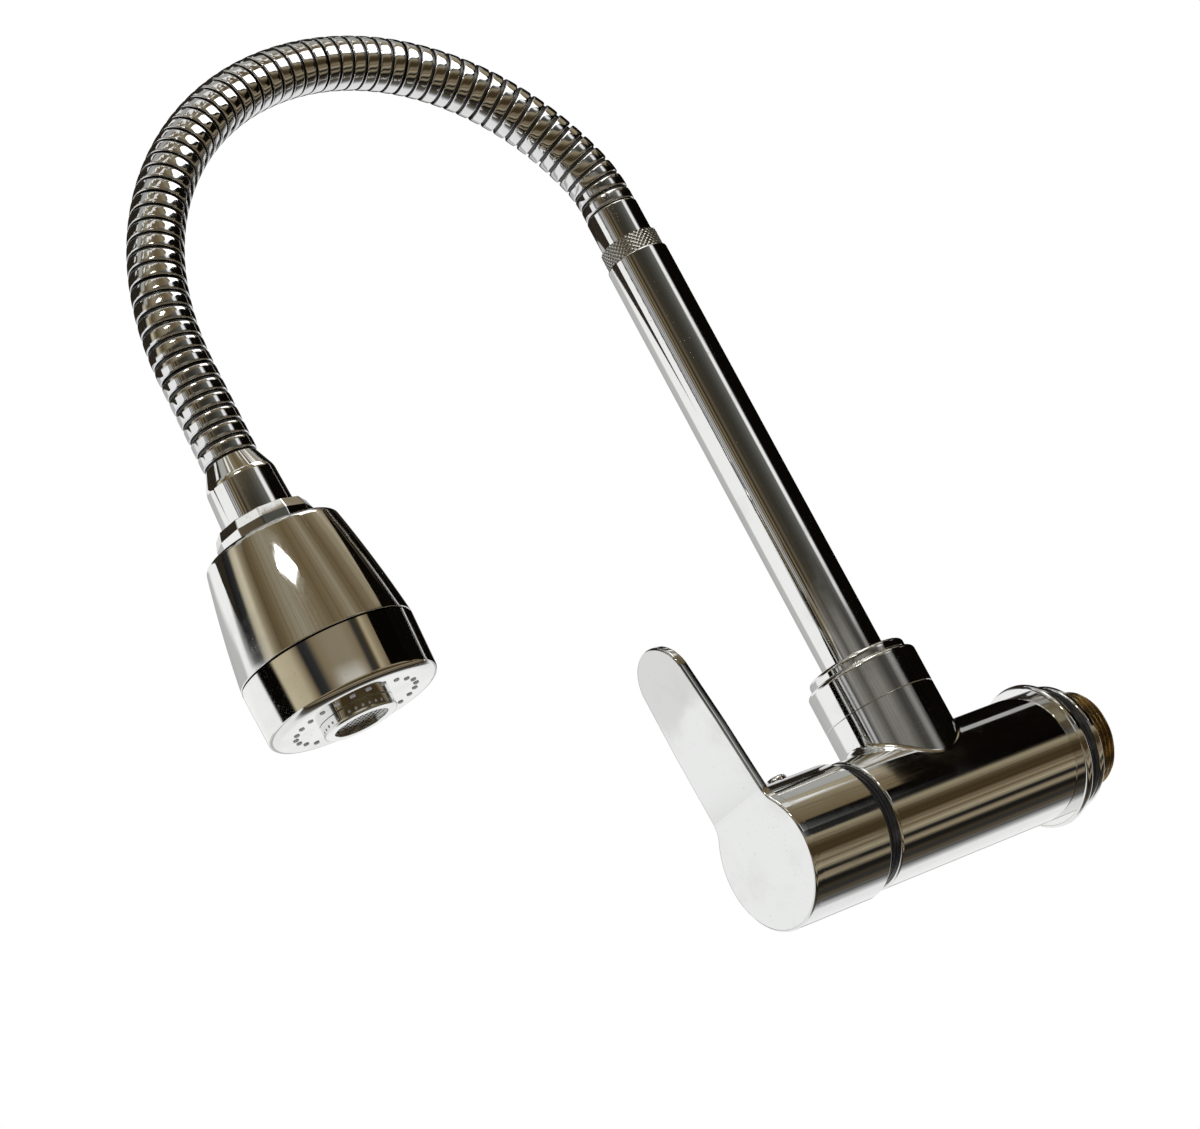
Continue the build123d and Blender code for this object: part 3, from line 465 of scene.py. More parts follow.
stem_hole, stem_socket, socket_back, cap_wall, cap_front, cap_floor = 4.55, 8.5, -109.0, 20.4, -130.3, -128.3
cap_outline = [(stem_hole, cap_front), (handle_radius, cap_front), (handle_radius, handle_back),
               (cap_wall, handle_back), (cap_wall, cap_floor), (stem_socket, cap_floor),
               (stem_socket, socket_back), (stem_hole, socket_back)]
combine(lever, turn("cap", cap_outline, [(2, 0.4)], lying=True, steps=round_steps), "UNION")
screw_y, boss_radius, boss_low, boss_top = -115.0, 5.0, 8.0, 21.4
screw_radius, screw_low, seat_radius, seat_low, seat_top = 2.5, 6.0, 3.8, 22.25, 26.0
boss_outline = [(0, boss_low), (boss_radius, boss_low), (boss_radius, boss_top), (0, boss_top)]
hole_outline = [(0, screw_low), (screw_radius, screw_low), (screw_radius, seat_low), (seat_radius, seat_low),
                (seat_radius, seat_top), (0, seat_top)]
combine(lever, turn("boss", boss_outline, axis_y=screw_y, steps=32, closed=False), "UNION")
combine(lever, turn("hole", hole_outline, axis_y=screw_y, steps=32, closed=False), "DIFFERENCE")
make_smooth(lever, 0.5)
lever_chrome = plated("lever chrome", (1, 1, 0.03), colour=(0.8, 0.81, 0.8, 1), smudge=0.1, lines=0.02)
# the upper part of the lever, toward its tip, is painted darker with a ragged edge: a painted darker reflection on
# its face
tip_reflection_low, tip_reflection_high, tip_reflection_share, tip_reflection_tone = 0.062, 0.072, 0.35, (0.42, 0.42, 0.41, 1)
tree = lever_chrome.node_tree
colour = tree.nodes["Principled BSDF"].inputs["Base Color"]
place = tree.nodes["Texture Coordinate"].outputs["Object"]
height = add_node(tree, "ShaderNodeSeparateXYZ", {0: place}).outputs[2]
ragged = maths(tree, "MULTIPLY_ADD", noise(tree, place, 60, 3), 0.03, height)
# the share of the painted darker reflection, by height
tip_reflection = maths(tree, "MULTIPLY", rise(tree, ragged, tip_reflection_low, tip_reflection_high), tip_reflection_share)
tree.links.new(mixed(tree, tip_reflection, colour.links[0].from_socket, tip_reflection_tone), colour)
dress(lever, lever_chrome, "chrome", "handle", "lever_handle")

# A small domed plug closes the screw hole on top of the handle. Under it a steel grub screw with a
# hexagon socket clamps the handle on the flat of the stem.
dome = [(0, 20.0), (2.45, 20.0), (2.45, 22.3), (3.7, 22.3), (3.7, 23.2), (3.3, 24.0), (2.5, 24.4), (1.6, 24.55),
        (0, 24.6)]
plug = turn("domed_plug", dome, [(3, 0.15)], axis_y=screw_y, steps=48, closed=False)
make_smooth(plug, 0.9)
dress(plug, round_chrome, "chrome", "handle", "screw_plug")
give("grub_screw", steel)

# The swivel nut turns down over the spigot of the boss and holds the foot of the spout. A thin collar
# sits on it round the riser. Both are turned brass, chromed, with rounded upper edges.
riser_y = -62.5
nut_bore, nut_radius, nut_hole, nut_low, nut_ceiling, nut_top = 16.85, 19.5, 11.7, 33.6, 45.1, 47.5
outline = [(nut_bore, nut_low), (nut_radius, nut_low), (nut_radius, nut_top), (nut_hole, nut_top),
           (nut_hole, nut_ceiling), (nut_bore, nut_ceiling)]
nut = turn("round_nut", outline, [(1, 0.35), (2, 1.6), (3, 0.3)], axis_y=riser_y, steps=round_steps)
make_smooth(nut)
dress(nut, round_chrome, "chrome", "tap_body", "swivel_nut")
collar_bore, collar_radius, collar_low, collar_top = 11.05, 17.2, 47.6, 51.1
collar = turn("collar", ring_of(collar_bore, collar_radius, collar_low, collar_top),
              [(1, 0.5), (2, 1.4), (3, 0.3)], axis_y=riser_y, steps=round_steps)
make_smooth(collar)
dress(collar, round_chrome, "chrome", "spout", "collar")
give("spout_foot", turned_brass)
give("spout_seals", black_rubber)
give("slip_ring", white_plastic)

# The riser is a straight drawn brass tube, 22 mm across, polished along its length and chromed. It is
# soldered into the foot of the spout.
riser_bore, riser_radius, riser_low, riser_top = 9.8, 11.0, 30.0, 208.0
riser_chrome = plated("riser chrome", (1, 1, 0.015), lines=0.04)
riser = turn("riser", ring_of(riser_bore, riser_radius, riser_low, riser_top), [(2, 0.6)], axis_y=riser_y,
             steps=round_steps)
make_smooth(riser)
dress(riser, riser_chrome, "chrome", "spout", "riser_tube")

# A plug is pressed into the top of the riser. Its narrow band is diamond knurled, and above it a
# smooth sleeve grips the end of the hose.
knurl_teeth, knurl_depth, knurl_top, knurl_radius, knurl_row, knurl_lead = 36, 0.42, 214.4, 10.4, 0.4, 1.6
plug_bore, plug_radius, plug_low = 5.3, 9.75, 198.0
rows = [(knurl_radius, riser_top + knurl_row * step) for step in range(17)]
outline = [(plug_bore, plug_low), (plug_radius, plug_low), (plug_radius, riser_top), *rows,
           (plug_bore, knurl_top)]
knurl = turn("knurled_band", outline, axis_y=riser_y, steps=8 * knurl_teeth)
for point in knurl.data.vertices:
    radius = math.hypot(point.co.x, point.co.y - riser_y * mm) / mm
    if radius > knurl_radius - 0.1:
        turns = math.atan2(point.co.y - riser_y * mm, point.co.x) / (2 * math.pi) * knurl_teeth
        up = (point.co.z / mm - riser_top) / knurl_lead
        one, two = abs((turns + up) % 1.0 - 0.5) * 2, abs((turns - up) % 1.0 - 0.5) * 2
        cut = (radius - knurl_depth * max(one, two)) / radius
        point.co.x *= cut
        point.co.y = riser_y * mm + (point.co.y - riser_y * mm) * cut
make_smooth(knurl, 0.5)
# painted shade: the knurled chrome is much darker than the other chrome, for the shade in its fine grooves
knurl_chrome_painted_shade = plated("knurl chrome", (1, 1, 1), colour=(0.42, 0.41, 0.38, 1), roughness=0.1, smudge=0.2)
dress(knurl, knurl_chrome_painted_shade, "chrome", "spout", "knurled_plug")
ferrule_bore, ferrule_radius, hose_low = 7.95, 9.3, 227.0
ferrule = turn("ferrule", ring_of(ferrule_bore, ferrule_radius, knurl_top, hose_low), [(1, 0.3), (2, 0.5)],
               axis_y=riser_y)
make_smooth(ferrule)
dress(ferrule, riser_chrome, "chrome", "spout", "upper_ferrule")

# The gooseneck is a stainless steel strip wound into a hose of rounded ribs that slide on each other
# in grooves, so that it bends and stays. It is made straight, in ten lengths, and then bent. The groove
# faces are painted near black: painted shade of the narrow grooves.
tube_low, tube_high, neck_top = 203.0, 166.0, 176.0
hose_length, rib_pitch, ribs, spans = 308.947, 5.14912, 6, 10
up_degrees, down_degrees, first_pull, last_pull = 90.0, 270.0, 9.0, 12.0
route = [(Vector((0, riser_y, tube_low)), up_degrees, first_pull, first_pull),
         (Vector((0, riser_y, hose_low + 4.0)), up_degrees, first_pull, 0.0)]
for radius, degrees in ((38.0, 20.0), (90.0, 70.0), (95.5, 45.0), (95.5, 45.0)):
    place, heading = route[-1][0], route[-1][1]
    start, end = math.radians(heading), math.radians(heading + degrees)
    pull = 4 / 3 * math.tan((end - start) / 4) * radius
    route[-1] = (*route[-1][:3], pull)
    place = place + Vector((0, math.sin(end) - math.sin(start), math.cos(start) - math.cos(end))) * radius
    route.append((place, heading + degrees, pull, 0.0))
route[-1] = (*route[-1][:3], last_pull)
route.append((Vector((0, route[-1][0].y, tube_high)), down_degrees, last_pull, last_pull))
bpy.ops.object.select_all(action="DESELECT")
bpy.ops.curve.primitive_bezier_curve_add(location=(0, 0, 0))
hose_line = bpy.context.object
hose_line.data.dimensions = "3D"
hose_line.data.resolution_u = 64
hose_line.data.use_deform_bounds = False
points = hose_line.data.splines[0].bezier_points
points.add(len(route) - len(points))
for point, (place, heading, pull_in, pull_out) in zip(points, route):
    ahead = Vector((0, math.cos(math.radians(heading)), math.sin(math.radians(heading))))
    point.handle_left_type = point.handle_right_type = "FREE"
    point.co = place * mm
    point.handle_left = (place - ahead * pull_in) * mm
    point.handle_right = (place + ahead * pull_out) * mm


def bend_along_hose(piece):
    """Bend a straight piece, made upright on the origin, along the line of the hose."""
    change(piece, "CURVE", object=hose_line, deform_axis="POS_Z")


hose_steel = plated("hose steel", (1, 1, 1), colour=(0.76, 0.76, 0.76, 1), roughness=0.05, smudge=0.12,
                    lines=0.06, wave=0.05)
# painted shade: the faces down in the grooves are near black, for the shade deep in them
groove_painted_shade = plated("groove steel", (1, 1, 1), colour=(0.1, 0.1, 0.1, 1), roughness=0.35, smudge=0.2)
rib_side = [(0.45, 8.2), (0.5, 8.7), (0.68, 8.95), (1.0, 9.05), (1.7, 9.09), (2.575, 9.1), (3.45, 9.09),
            (4.15, 9.05), (4.47, 8.95), (4.65, 8.7), (4.7, 8.2)]
hose_bore, groove_top, end_radius, tongue_radius, socket_radius = 6.6, 8.5, 7.9, 7.6, 7.8
gap, socket_depth, end_depth = 0.45, 1.7, 12.5
hose_bodies = ["spout"] + ["hose_link_%d" % number for number in range(2, spans)] + ["head"]
span_length = hose_length / spans
for number, body in enumerate(hose_bodies):
    low = hose_low - tube_low + number * span_length
    high = low + span_length
    # the first span starts deep in the sleeve, and each other one as a socket for the tongue before it
    depth, wide = (-end_depth, end_radius) if number == 0 else (socket_depth, socket_radius)
    outline = [(hose_bore, low + depth), (wide, low + depth), (wide, low + gap)]
    for rib in range(ribs):
        outline += [(radius, low + rib * rib_pitch + along) for along, radius in rib_side]
    tongue = tongue_radius if number < spans - 1 else end_radius
    outline += [(tongue, high - gap), (tongue, high + gap), (hose_bore, high + gap)]
    outline += [(hose_bore, low + rib * rib_pitch) for rib in range(ribs - 1, 0, -1)]
    span = turn("ribbed_span_%d" % (number + 1), outline, steps=72)
    span.data.materials.append(hose_steel)
    span.data.materials.append(groove_painted_shade)
    # the faces below the top of the grooves take the painted shade
    for face in span.data.polygons:
        middle = sum((span.data.vertices[index].co for index in face.vertices), Vector()) / len(face.vertices)
        face.material_index = 1 if math.hypot(middle.x, middle.y) < groove_top * mm else 0
    make_smooth(span, 0.9)
    bend_along_hose(span)
    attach(span, body)
    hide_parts("hose_span_%d" % (number + 1))

# A reinforced rubber tube carries the water through the hose, from the knurled plug to the neck of the
# head. A woven cover makes it thicker inside the ribs. It bends, so it is made in lengths across the bends.
tube_rubber = soft_black("tube rubber", (0.05, 0.05, 0.055, 1), 0.5, 3200)
tube_bore, tube_radius, cover_radius, tube_rows = 3.8, 5.2, 6.1, 8
tube_length = (hose_low - tube_low) + hose_length + (neck_top - tube_high)
cuts = [0.0, *(hose_low - tube_low + (number + 0.5) * span_length for number in range(spans)), tube_length]
for number, (low, high) in enumerate(zip(cuts, cuts[1:])):
    rows = [low + (high - low) * step / tube_rows for step in range(tube_rows + 1)]
    outside = tube_radius if number in (0, spans) else cover_radius
    outline = [(outside, row) for row in rows] + [(tube_bore, row) for row in reversed(rows)]
    tube = turn("tube_length_%d" % (number + 1), outline, steps=32)
    make_smooth(tube, 0.8)
    ends = [[point.index for point in tube.data.vertices if abs(point.co.z - end * mm) < 1e-6]
            for end in (low, high)]
    bend_along_hose(tube)
    tube.data.materials.append(tube_rubber)
    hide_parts("water_tube")
    if number == 0:
        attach(tube, "spout")
    elif number == spans:
        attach(tube, "head")
    else:
        start, end = (sum((tube.data.vertices[index].co for index in group), Vector()) / len(group)
                      for group in ends)
        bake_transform(tube)
bpy.data.objects.remove(hose_line)

# The head's neck is turned brass, chromed. Its shoulder takes the hose, and its spigot screws into
# the core of the head through the bright ring and the bell.
head_y = -244.864
neck_bore, spigot_radius, neck_foot, neck_shoulder, neck_rim, tube_hole = 3.8, 8.5, 12.0, 11.4, 8.5, 5.3
spigot_low, neck_low, shoulder_low, tube_seat = 140.0, 155.0, 169.0, 165.5
outline = [(neck_bore, spigot_low), (spigot_radius, spigot_low), (spigot_radius, neck_low), (neck_foot, neck_low),
           (neck_shoulder, shoulder_low), (neck_rim, neck_top), (tube_hole, neck_top), (tube_hole, tube_seat),
           (neck_bore, tube_seat)]
neck = turn("neck", outline, [(3, 0.4), (4, 0.9), (5, 0.4)], axis_y=head_y)
make_smooth(neck)
dress(neck, riser_chrome, "chrome", "head", "head_neck")

# The bright ring under the neck is turned and then milled with twelve flats, so that it can be held
# while the head is screwed on. Its upper rim is chamfered.
top_hole, bell_top = 8.6, 147.4
grip_radius, grip_rim, chamfer_low, grip_top, flats = 16.2, 15.1, 151.6, 154.95, 12
outline = [(top_hole, bell_top), (grip_radius, bell_top), (grip_radius, chamfer_low), (grip_rim, grip_top),
           (top_hole, grip_top)]
grip = turn("faceted_ring", outline, axis_y=head_y, steps=flats)
change(grip, "BEVEL", width=0.35 * mm, segments=3, angle_limit=math.radians(25))
make_smooth(grip, 0.25)
dress(grip, round_chrome, "chrome", "head", "grip_ring")


# The bell of the head is a thin pressed brass shell, chromed, with a curved side and a flat top. The
# plastic core inside it carries it and holds the selector with its rubber seal.
def arc_through(first, second, third, count):
    """Points along the arc through three (radius, height) places."""
    (ax, ay), (bx, by), (cx, cy) = first, second, third
    twice = 2 * (ax * (by - cy) + bx * (cy - ay) + cx * (ay - by))
    one, two, three = ax * ax + ay * ay, bx * bx + by * by, cx * cx + cy * cy
    middle = Vector(((one * (by - cy) + two * (cy - ay) + three * (ay - by)) / twice,
                     (one * (cx - bx) + two * (ax - cx) + three * (bx - ax)) / twice))
    radius = (Vector(first) - middle).length
    start, end = (math.atan2(point[1] - middle.y, point[0] - middle.x) for point in (first, third))
    return [(middle.x + radius * math.cos(start + (end - start) * step / count),
             middle.y + radius * math.sin(start + (end - start) * step / count)) for step in range(count + 1)]


seam, seam_radius, waist, waist_radius, top_radius, wall = 108.4, 28.5, 126.0, 26.0, 21.9, 1.8
outer_steps, inner_steps = 18, 12
outer = arc_through((seam_radius, seam), (waist_radius, waist), (top_radius, bell_top), outer_steps)
inner = arc_through((top_radius - wall, bell_top - wall), (waist_radius - wall, waist), (seam_radius - wall, seam),
                    inner_steps)
outline = outer + [(top_hole, bell_top), (top_hole, bell_top - wall)] + inner
bell = turn("bell", outline, [(0, 0.35), (outer_steps, 1.6)], axis_y=head_y, steps=144)
make_smooth(bell, 0.5)
dress(bell, plated("bell chrome", (1, 1, 0.04), smudge=0.08, lines=0.03), "chrome", "head", "bell_shell")
give("head_core", white_plastic)
give("core_seal", black_rubber)

# The selector is the lower ring of the head with its flat face, one turned and chromed piece. A rubber
# mat behind the face pushes a small nozzle through each of its holes.
give("selector_ring", round_chrome)
give("spray_mat", soft_black("nozzle rubber", (0.36, 0.36, 0.37, 1), 0.45, 3000))

# The aerator sleeve screws into the middle of the face and stands out of it. It holds a woven steel
# screen, a black plastic flow insert and a rubber washer.
lip_bore, sleeve_bore, thread_radius, sleeve_radius = 8.8, 9.6, 10.4, 12.1
sleeve_low, lip_top, sleeve_step, sleeve_top = 84.4, 85.9, 88.25, 96.3
outline = [(lip_bore, sleeve_low), (sleeve_radius, sleeve_low), (sleeve_radius, sleeve_step),
           (thread_radius, sleeve_step), (thread_radius, sleeve_top), (sleeve_bore, sleeve_top),
           (sleeve_bore, lip_top), (lip_bore, lip_top)]
sleeve = turn("aerator_sleeve", outline, [(1, 0.7), (0, 0.25), (2, 0.2)], axis_y=head_y)
make_smooth(sleeve)
dress(sleeve, round_chrome, "chrome", "selector", "aerator_housing")
give("aerator_mesh", steel)
give("aerator_insert", black_plastic)
give("aerator_washer", black_rubber)

# The studio: the tap floats before a white ground, over a pale floor that is far below it. The metal
# mirrors a plain room of painted boards: a bright side, a brown table, and dark things beyond them.
# The boards glow and are no lamps, and only the metal sees them: their colours are painted reflections.
bpy.ops.object.select_all(action="DESELECT")
bpy.ops.mesh.primitive_plane_add(size=4.0, location=(0, 0, -1.2))
floor = bpy.context.object
floor.name = floor.data.name = "floor"
floor_paint, tree, shader, place = new_finish("pale floor")
cloud = mixed(tree, noise(tree, place, 3, 3), (0.86, 0.86, 0.85, 1), (0.82, 0.82, 0.81, 1))
tree.links.new(cloud, shader.inputs["Base Color"])
shader.inputs["Roughness"].default_value = 0.9
floor.data.materials.append(floor_paint)
floor.visible_glossy = False

# the ground is white to the camera and in the metal, and lights the tap a little less than that
sky = bpy.data.worlds.new("white ground")
bpy.context.scene.world = sky
sky.use_nodes = True
tree = sky.node_tree
rays = tree.nodes.new("ShaderNodeLightPath").outputs
mirrored = maths(tree, "MAXIMUM", rays["Is Glossy Ray"], rays["Is Transmission Ray"])
seen = maths(tree, "MAXIMUM", rays["Is Camera Ray"], mirrored)
ground = mixed(tree, seen, (0.9, 0.9, 0.9, 1), (1, 1, 1, 1))
tree.links.new(ground, tree.nodes["Background"].inputs["Color"])


def set_up(board, paint):
    """Stand a board about the tap that only its metal mirrors."""
    board.visible_camera = board.visible_diffuse = board.visible_transmission = board.visible_shadow = False
    board.data.materials.append(paint)
    paint.cycles.emission_sampling = "NONE"


def glowing(name):
    """A glowing paint for painted reflections, which shows its own colour in any light: its material, tree, shader
    and places.
    """
    material, tree, shader, place = new_finish(name)
    shader.inputs["Base Color"].default_value = (0, 0, 0, 1)
    shader.inputs["Roughness"].default_value = 1.0
    shader.inputs["Specular IOR Level"].default_value = 0.0
    shader.inputs["Emission Strength"].default_value = 1.0
    return material, tree, shader, place


def degrees_about(tree, first, second):
    """The angle of two sockets, in degrees."""
    return maths(tree, "MULTIPLY", maths(tree, "ARCTAN2", first, second), 180 / math.pi)


def wall_of(tree, angle, stops):
    """Colours by angle: stops are (degrees, grey or colour)."""
    ramp = tree.nodes.new("ShaderNodeValToRGB")
    tree.links.new(maths(tree, "MULTIPLY_ADD", angle, 1 / 360, 0.5), ramp.inputs[0])
    marks = ramp.color_ramp.elements
    while len(marks) < len(stops):
        marks.new(1.0)
    for mark, (degrees, colour) in zip(marks, stops):
        mark.position = degrees / 360 + 0.5
    for mark, (degrees, colour) in zip(marks, stops):
        mark.color = (*colour, 1) if isinstance(colour, tuple) else (colour, colour, colour, 1)
    return ramp.outputs[0]


def without(tree, value):
    """1 less a value."""
    return maths(tree, "SUBTRACT", 1.0, value)


def band(tree, value, low, high, soft):
    """1 between two bounds and 0 outside them, with soft edges."""
    end = without(tree, rise(tree, value, high - soft, high + soft))
    return maths(tree, "MULTIPLY", rise(tree, value, low - soft, low + soft), end)


# the room is a large ball, painted by the bearing and the slant at which it is met
soot, tan, wood, shade = (0.002, 0.0016, 0.001), (0.44, 0.37, 0.24), (0.21, 0.165, 0.1), (0.05, 0.038, 0.02)
bpy.ops.object.select_all(action="DESELECT")
bpy.ops.mesh.primitive_uv_sphere_add(segments=64, ring_count=32, radius=20.0)
room = bpy.context.object
room.name = room.data.name = "room"
room_paint, tree, shader, place = glowing("room paint")
set_up(room, room_paint)
facing = add_node(tree, "ShaderNodeVectorMath", {0: place}, operation="NORMALIZE").outputs[0]
east, north, up = add_node(tree, "ShaderNodeSeparateXYZ", {0: facing}).outputs
bearing = degrees_about(tree, north, east)
slant = degrees_about(tree, up, east)
# what a level look meets all round: a white side with a streaky edge, a grey room, a window and a doorway
level = wall_of(tree, bearing, [
    (-180, 0.52), (-156, 0.55), (-150, 1.0), (-88, 1.0), (-86, 0.01), (-82, 0.75), (-79, 0.01), (-76, 0.6),
    (-73, 0.02), (-69, (0.32, 0.26, 0.16)), (-65, 0.01), (-60, (0.22, 0.17, 0.1)), (-55, 0.012),
    (-48, (0.13, 0.1, 0.06)), (-40, (0.05, 0.044, 0.032)), (-20, (0.04, 0.037, 0.028)), (-5, (0.06, 0.058, 0.05)),
    (8, (0.1, 0.1, 0.09)), (21, (0.16, 0.16, 0.145)), (24, 1.0), (34, 1.0), (37, 0.2), (41, soot), (133, soot),
    (137, 0.5), (180, 0.52)])
# a little lower: the same side of the room with the window sill
sill = wall_of(tree, bearing, [
    (-180, 0.52), (-156, 0.55), (-150, 1.0), (-91, 1.0), (-88, 0.03), (-84, 0.8), (-80, 0.04), (-75, 0.7),
    (-71, 0.03), (-64, (0.3, 0.29, 0.27)), (-42, (0.1, 0.095, 0.085)), (-32, (0.23, 0.22, 0.2)),
    (-14, (0.23, 0.22, 0.2)), (0, (0.1, 0.095, 0.085)), (8, (0.055, 0.053, 0.048)), (18, (0.075, 0.072, 0.066)),
    (25, (0.26, 0.255, 0.24)), (32, (0.26, 0.255, 0.24)), (38, 0.02), (42, soot), (133, soot), (137, 0.5),
    (180, 0.52)])
# higher up: the same side of the room with its lights on a brown wall
high = wall_of(tree, bearing, [
    (-180, 1.0), (-142, 1.0), (-137, 0.3), (-128, 0.01), (-114, 0.03), (-108, (0.5, 0.45, 0.33)),
    (-100, (0.62, 0.56, 0.42)), (-93, (0.3, 0.25, 0.16)), (-82, (0.11, 0.08, 0.04)), (-70, (0.16, 0.12, 0.065)),
    (-60, (0.24, 0.2, 0.13)), (-46, (0.3, 0.27, 0.19)), (-34, (0.26, 0.22, 0.145)), (-20, (0.2, 0.16, 0.096)),
    (-7, (0.15, 0.11, 0.057)), (7, (0.19, 0.145, 0.085)), (20, (0.29, 0.25, 0.17)), (30, (0.17, 0.13, 0.075)),
    (40, (0.14, 0.1, 0.053)), (54, (0.23, 0.185, 0.115)), (74, (0.42, 0.36, 0.25)), (84, (0.18, 0.145, 0.09)),
    (91, soot), (133, soot), (137, 1.0), (180, 1.0)])
# below: the streaky boards of the table under the tap, and a white sheet beyond their edge
table = wall_of(tree, slant, [
    (-180, 0.42), (-173, 0.5), (-167, 0.97), (-127, 0.9), (-119, 0.5), (-110, 0.13), (-100, (0.1, 0.08, 0.05)),
    (-92, 0.03), (-84, (0.05, 0.04, 0.025)), (-77, 0.008), (-71, 0.012), (-66, (0.3, 0.25, 0.16)),
    (-62, (0.26, 0.21, 0.14)), (-57, 0.012), (-53, 0.014), (-49, (0.32, 0.27, 0.18)), (-45, (0.42, 0.36, 0.245)),
    (-40, (0.16, 0.12, 0.07)), (-36, (0.25, 0.2, 0.13)), (-31, (0.2, 0.16, 0.098)), (-26, (0.06, 0.04, 0.018)),
    (-16, (0.055, 0.037, 0.016)), (-10, (0.09, 0.065, 0.033)), (-5, (0.2, 0.16, 0.1)), (1, (0.31, 0.265, 0.175)),
    (6, (0.27, 0.23, 0.15)), (12, (0.09, 0.07, 0.04)), (18, soot), (133, soot), (137, 1.0), (180, 1.0)])
# dark streaks in the boards and on the walls, but not on what is white
along_boards = add_node(tree, "ShaderNodeCombineXYZ", {0: slant}).outputs[0]
boards = maths(tree, "MULTIPLY", rise(tree, noise(tree, along_boards, 0.3, 3, 0.6), 0.5, 0.62),
               rise(tree, slant, -126, -118))
table = mixed(tree, maths(tree, "MULTIPLY", boards, 0.55), table, (0.02, 0.015, 0.008, 1))
along_walls = add_node(tree, "ShaderNodeCombineXYZ", {0: bearing}).outputs[0]
streaks = maths(tree, "MULTIPLY", rise(tree, noise(tree, along_walls, 0.35, 3, 0.6), 0.5, 0.62),
                maths(tree, "MULTIPLY", rise(tree, bearing, -90, -86), 0.3))
# one above the other by the height of the look, with a dark far end, white ceiling panels and a grey
# strip overhead
table_edge, sill_edge, wall_edge = (0.03, 0.09), (0.19, 0.205), (0.37, 0.42)
strip_edge, far_edge, ceiling_edge = (0.6, 0.66), (0.62, 0.68), (0.7, 0.74)
whole = mixed(tree, rise(tree, up, *sill_edge), sill, level)
whole = mixed(tree, rise(tree, up, *wall_edge), whole, high)
whole = mixed(tree, streaks, whole, (0.02, 0.015, 0.01, 1))
whole = mixed(tree, rise(tree, up, *table_edge), table, whole)
far_end = maths(tree, "MULTIPLY", without(tree, band(tree, bearing, -100, 130, 8)), rise(tree, up, *far_edge))
whole = mixed(tree, far_end, whole, (0.02, 0.018, 0.014, 1))
panels = rise(tree, noise(tree, facing, 7.0, 1), 0.54, 0.57)
ceiling = maths(tree, "MULTIPLY", panels, rise(tree, up, *ceiling_edge))
whole = mixed(tree, ceiling, whole, (0.95, 0.95, 0.93, 1))
strip = maths(tree, "MULTIPLY", band(tree, slant, 80, 98, 3), rise(tree, up, *strip_edge))
whole = mixed(tree, strip, whole, (0.42, 0.42, 0.4, 1))
tree.links.new(whole, shader.inputs["Emission Color"])

# the front of a low cupboard, bent round the head, which the selector ring mirrors. It glows and only the metal
# sees it: its colours are a painted reflection, with a pale painted glare band
front_radius, front_low, front_rise = 80.0, 98.0, 26.0
arc = [math.radians(turned) for turned in range(-180, 49, 3)]
foot = [Vector((math.cos(turned) * front_radius, math.sin(turned) * front_radius + head_y, front_low)) * mm
        for turned in arc]
cupboard = draw("cupboard", foot, closed=False)
bpy.ops.mesh.select_all(action="SELECT")
bpy.ops.mesh.extrude_region_move(TRANSFORM_OT_translate={"value": (0, 0, front_rise * mm)})
close_up(cupboard)
cupboard_paint, tree, shader, place = glowing("cupboard paint")
set_up(cupboard, cupboard_paint)
from_head = add_node(tree, "ShaderNodeVectorMath", {0: place, 1: (0, -head_y * mm, 0)}).outputs[0]
east, north, up = add_node(tree, "ShaderNodeSeparateXYZ", {0: from_head}).outputs
bearing = degrees_about(tree, north, east)
front = wall_of(tree, bearing, [
    (-180, 1.0), (-116, 1.0), (-113, soot), (-92, soot), (-88, (0.56, 0.49, 0.34)), (-68, (0.46, 0.4, 0.27)),
    (-60, wood), (-56, 0.02), (-48, 0.03), (-41, wood), (-30, (0.25, 0.21, 0.14)), (-12, (0.26, 0.22, 0.15)),
    (-2, wood), (2, 0.03), (8, shade), (12, tan), (19, wood), (25, soot), (180, soot)])
lower = maths(tree, "SUBTRACT", 0.55, rise(tree, up, 0.1, 0.112))
glare = maths(tree, "MAXIMUM", maths(tree, "MULTIPLY", band(tree, bearing, -34, -6, 8), lower), 0.0)
tree.links.new(mixed(tree, glare, front, (0.75, 0.73, 0.67, 1)), shader.inputs["Emission Color"])


def mottled(name, scale, first, second, strength=1.0):
    """A glowing paint that clouds from one colour to another."""
    material, tree, shader, place = glowing(name)
    tree.links.new(mixed(tree, noise(tree, place, scale, 2), first, second), shader.inputs["Emission Color"])
    shader.inputs["Emission Strength"].default_value = strength
    return material


def flat_board(name, corners):
    """A flat board with the given corners."""
    piece = draw(name, corners)
    bpy.ops.mesh.select_all(action="SELECT")
    bpy.ops.mesh.edge_face_add()
    return close_up(piece)


# a dark doorway behind the wall end, which the top of the body mirrors between two bright edges: two dark glowing
# boards, seen only in the metal, that paint a dark reflection there
doorway_y, doorway_inner, doorway_outer, doorway_steps = 250.0, 245.0, 424.0, 12
doorway_paint = mottled("doorway paint", 9, (*soot, 1), (0.004, 0.003, 0.002, 1))
for name, begin, end in (("doorway_low", 17, 83), ("doorway_high", 94, 152)):
    spokes = [math.radians(begin + (end - begin) * step / doorway_steps) for step in range(doorway_steps + 1)]
    rim = [(doorway_outer, spoke) for spoke in spokes] + [(doorway_inner, spoke) for spoke in reversed(spokes)]
    corners = [Vector((math.cos(spoke) * radius, doorway_y, math.sin(spoke) * radius)) * mm
               for radius, spoke in rim]
    set_up(flat_board(name, corners), doorway_paint)
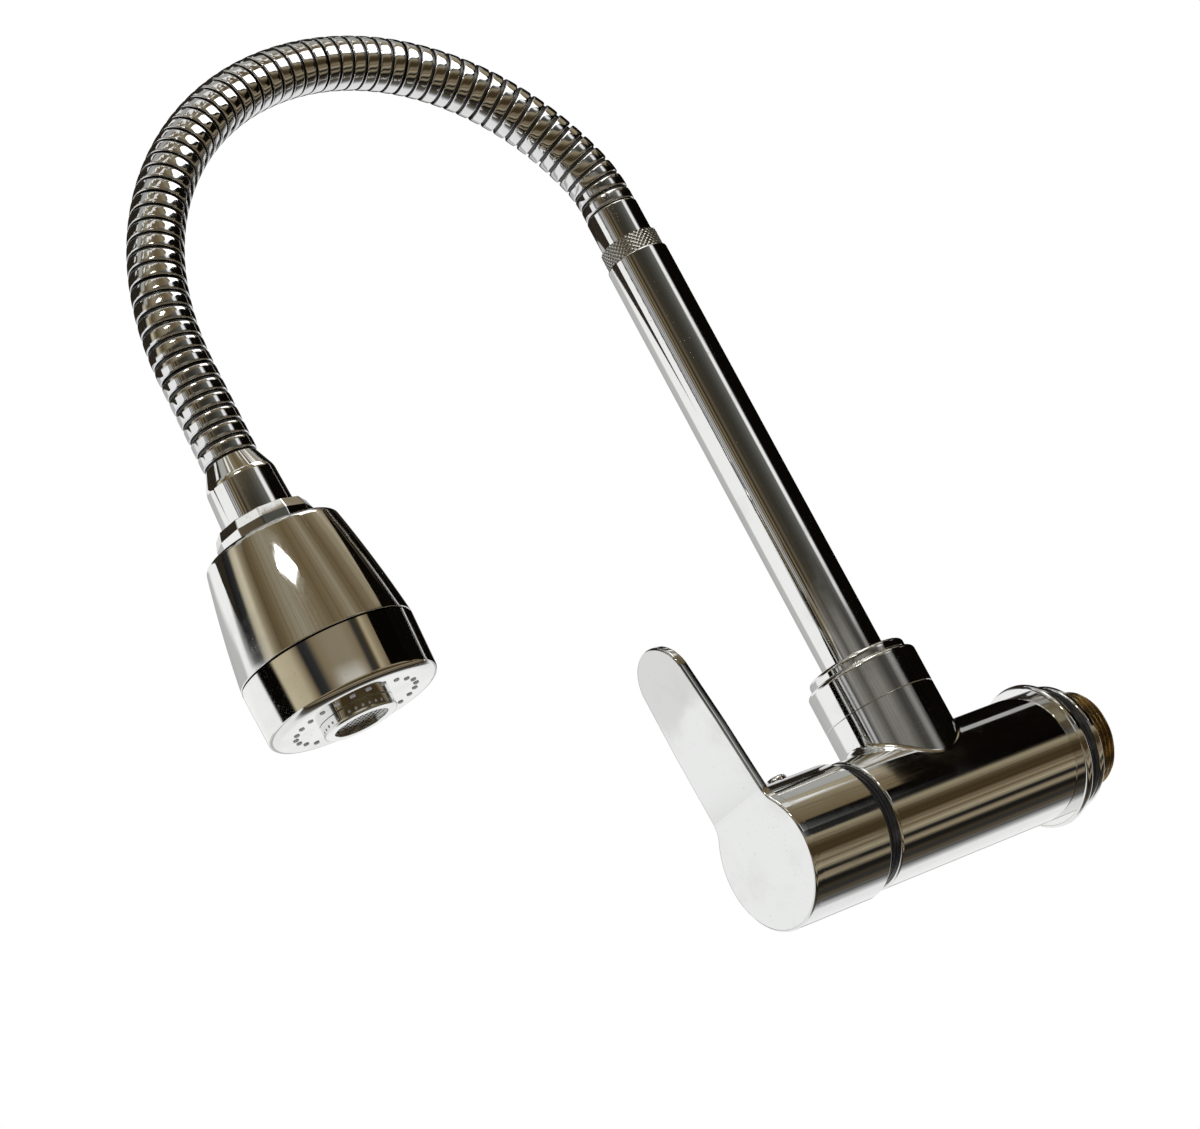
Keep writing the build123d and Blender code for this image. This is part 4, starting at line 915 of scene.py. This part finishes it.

# a dark board on the far side of the hose, seen only in the metal: a painted dark reflection that darkens the back
# of each rib
cabinet_place, cabinet_width, cabinet_height = (-0.22, -0.15, 0.59), 0.8, 0.6
bpy.ops.object.select_all(action="DESELECT")
bpy.ops.mesh.primitive_plane_add(size=1.0, location=cabinet_place, rotation=(0, math.pi / 2, 0))
cabinet = bpy.context.object
cabinet.name = cabinet.data.name = "cabinet"
bpy.ops.transform.resize(value=(1, cabinet_width, cabinet_height))
set_up(cabinet, mottled("cabinet paint", 6, (*soot, 1), (0.05, 0.04, 0.028, 1)))

# the bright glass of a ceiling light, a long diamond that the bell mirrors. It glows nine times as bright as white
# and only the metal sees it: a painted highlight on the bell
lamp_place = Vector((0.94, -0.76, 0.9))
glass_aside, glass_down = Vector((0.14, 0.21, 0)), Vector((0.03, -0.02, -0.042))
corners = [lamp_place + glass_aside, lamp_place + glass_down, lamp_place - glass_aside, lamp_place - glass_down]
set_up(flat_board("ceiling_glass", corners), mottled("lamp glass", 5, (1, 1, 1, 1), (0.9, 0.9, 0.88, 1), 9.0))


def hang_lamp(name, place, target, width, height, brightness):
    """An area lamp at a place, facing a target, with a given brightness of its surface."""
    bpy.ops.object.light_add(type="AREA", location=place)
    lamp = bpy.context.object
    lamp.name = lamp.data.name = name
    lamp.visible_camera = False
    lamp.rotation_euler = (Vector(target) - Vector(place)).to_track_quat("-Z", "Y").to_euler()
    lamp.data.shape = "RECTANGLE"
    lamp.data.size = width
    lamp.data.size_y = height
    lamp.data.energy = brightness * width * height * math.pi
    return lamp


hang_lamp("ceiling_lamp", lamp_place, (0, -0.25, 0.13), 0.5, 0.5, 3.0).visible_glossy = False
hang_lamp("arch_lamp", (0.149, -0.05, 0.367), (0, -0.155, 0.30), 0.17, 0.1, 2.2)
bpy.ops.object.camera_add(location=(0.88393, -0.8207, -0.15875))
camera = bpy.context.object
camera.rotation_mode = "QUATERNION"
camera.rotation_quaternion = (0.605007, 0.601506, 0.504798, 0.131666)
camera.data.sensor_width = 36
camera.data.sensor_fit = "HORIZONTAL"
camera.data.lens = 108
bpy.context.scene.camera = camera
bpy.context.scene.view_settings.view_transform = "Standard"
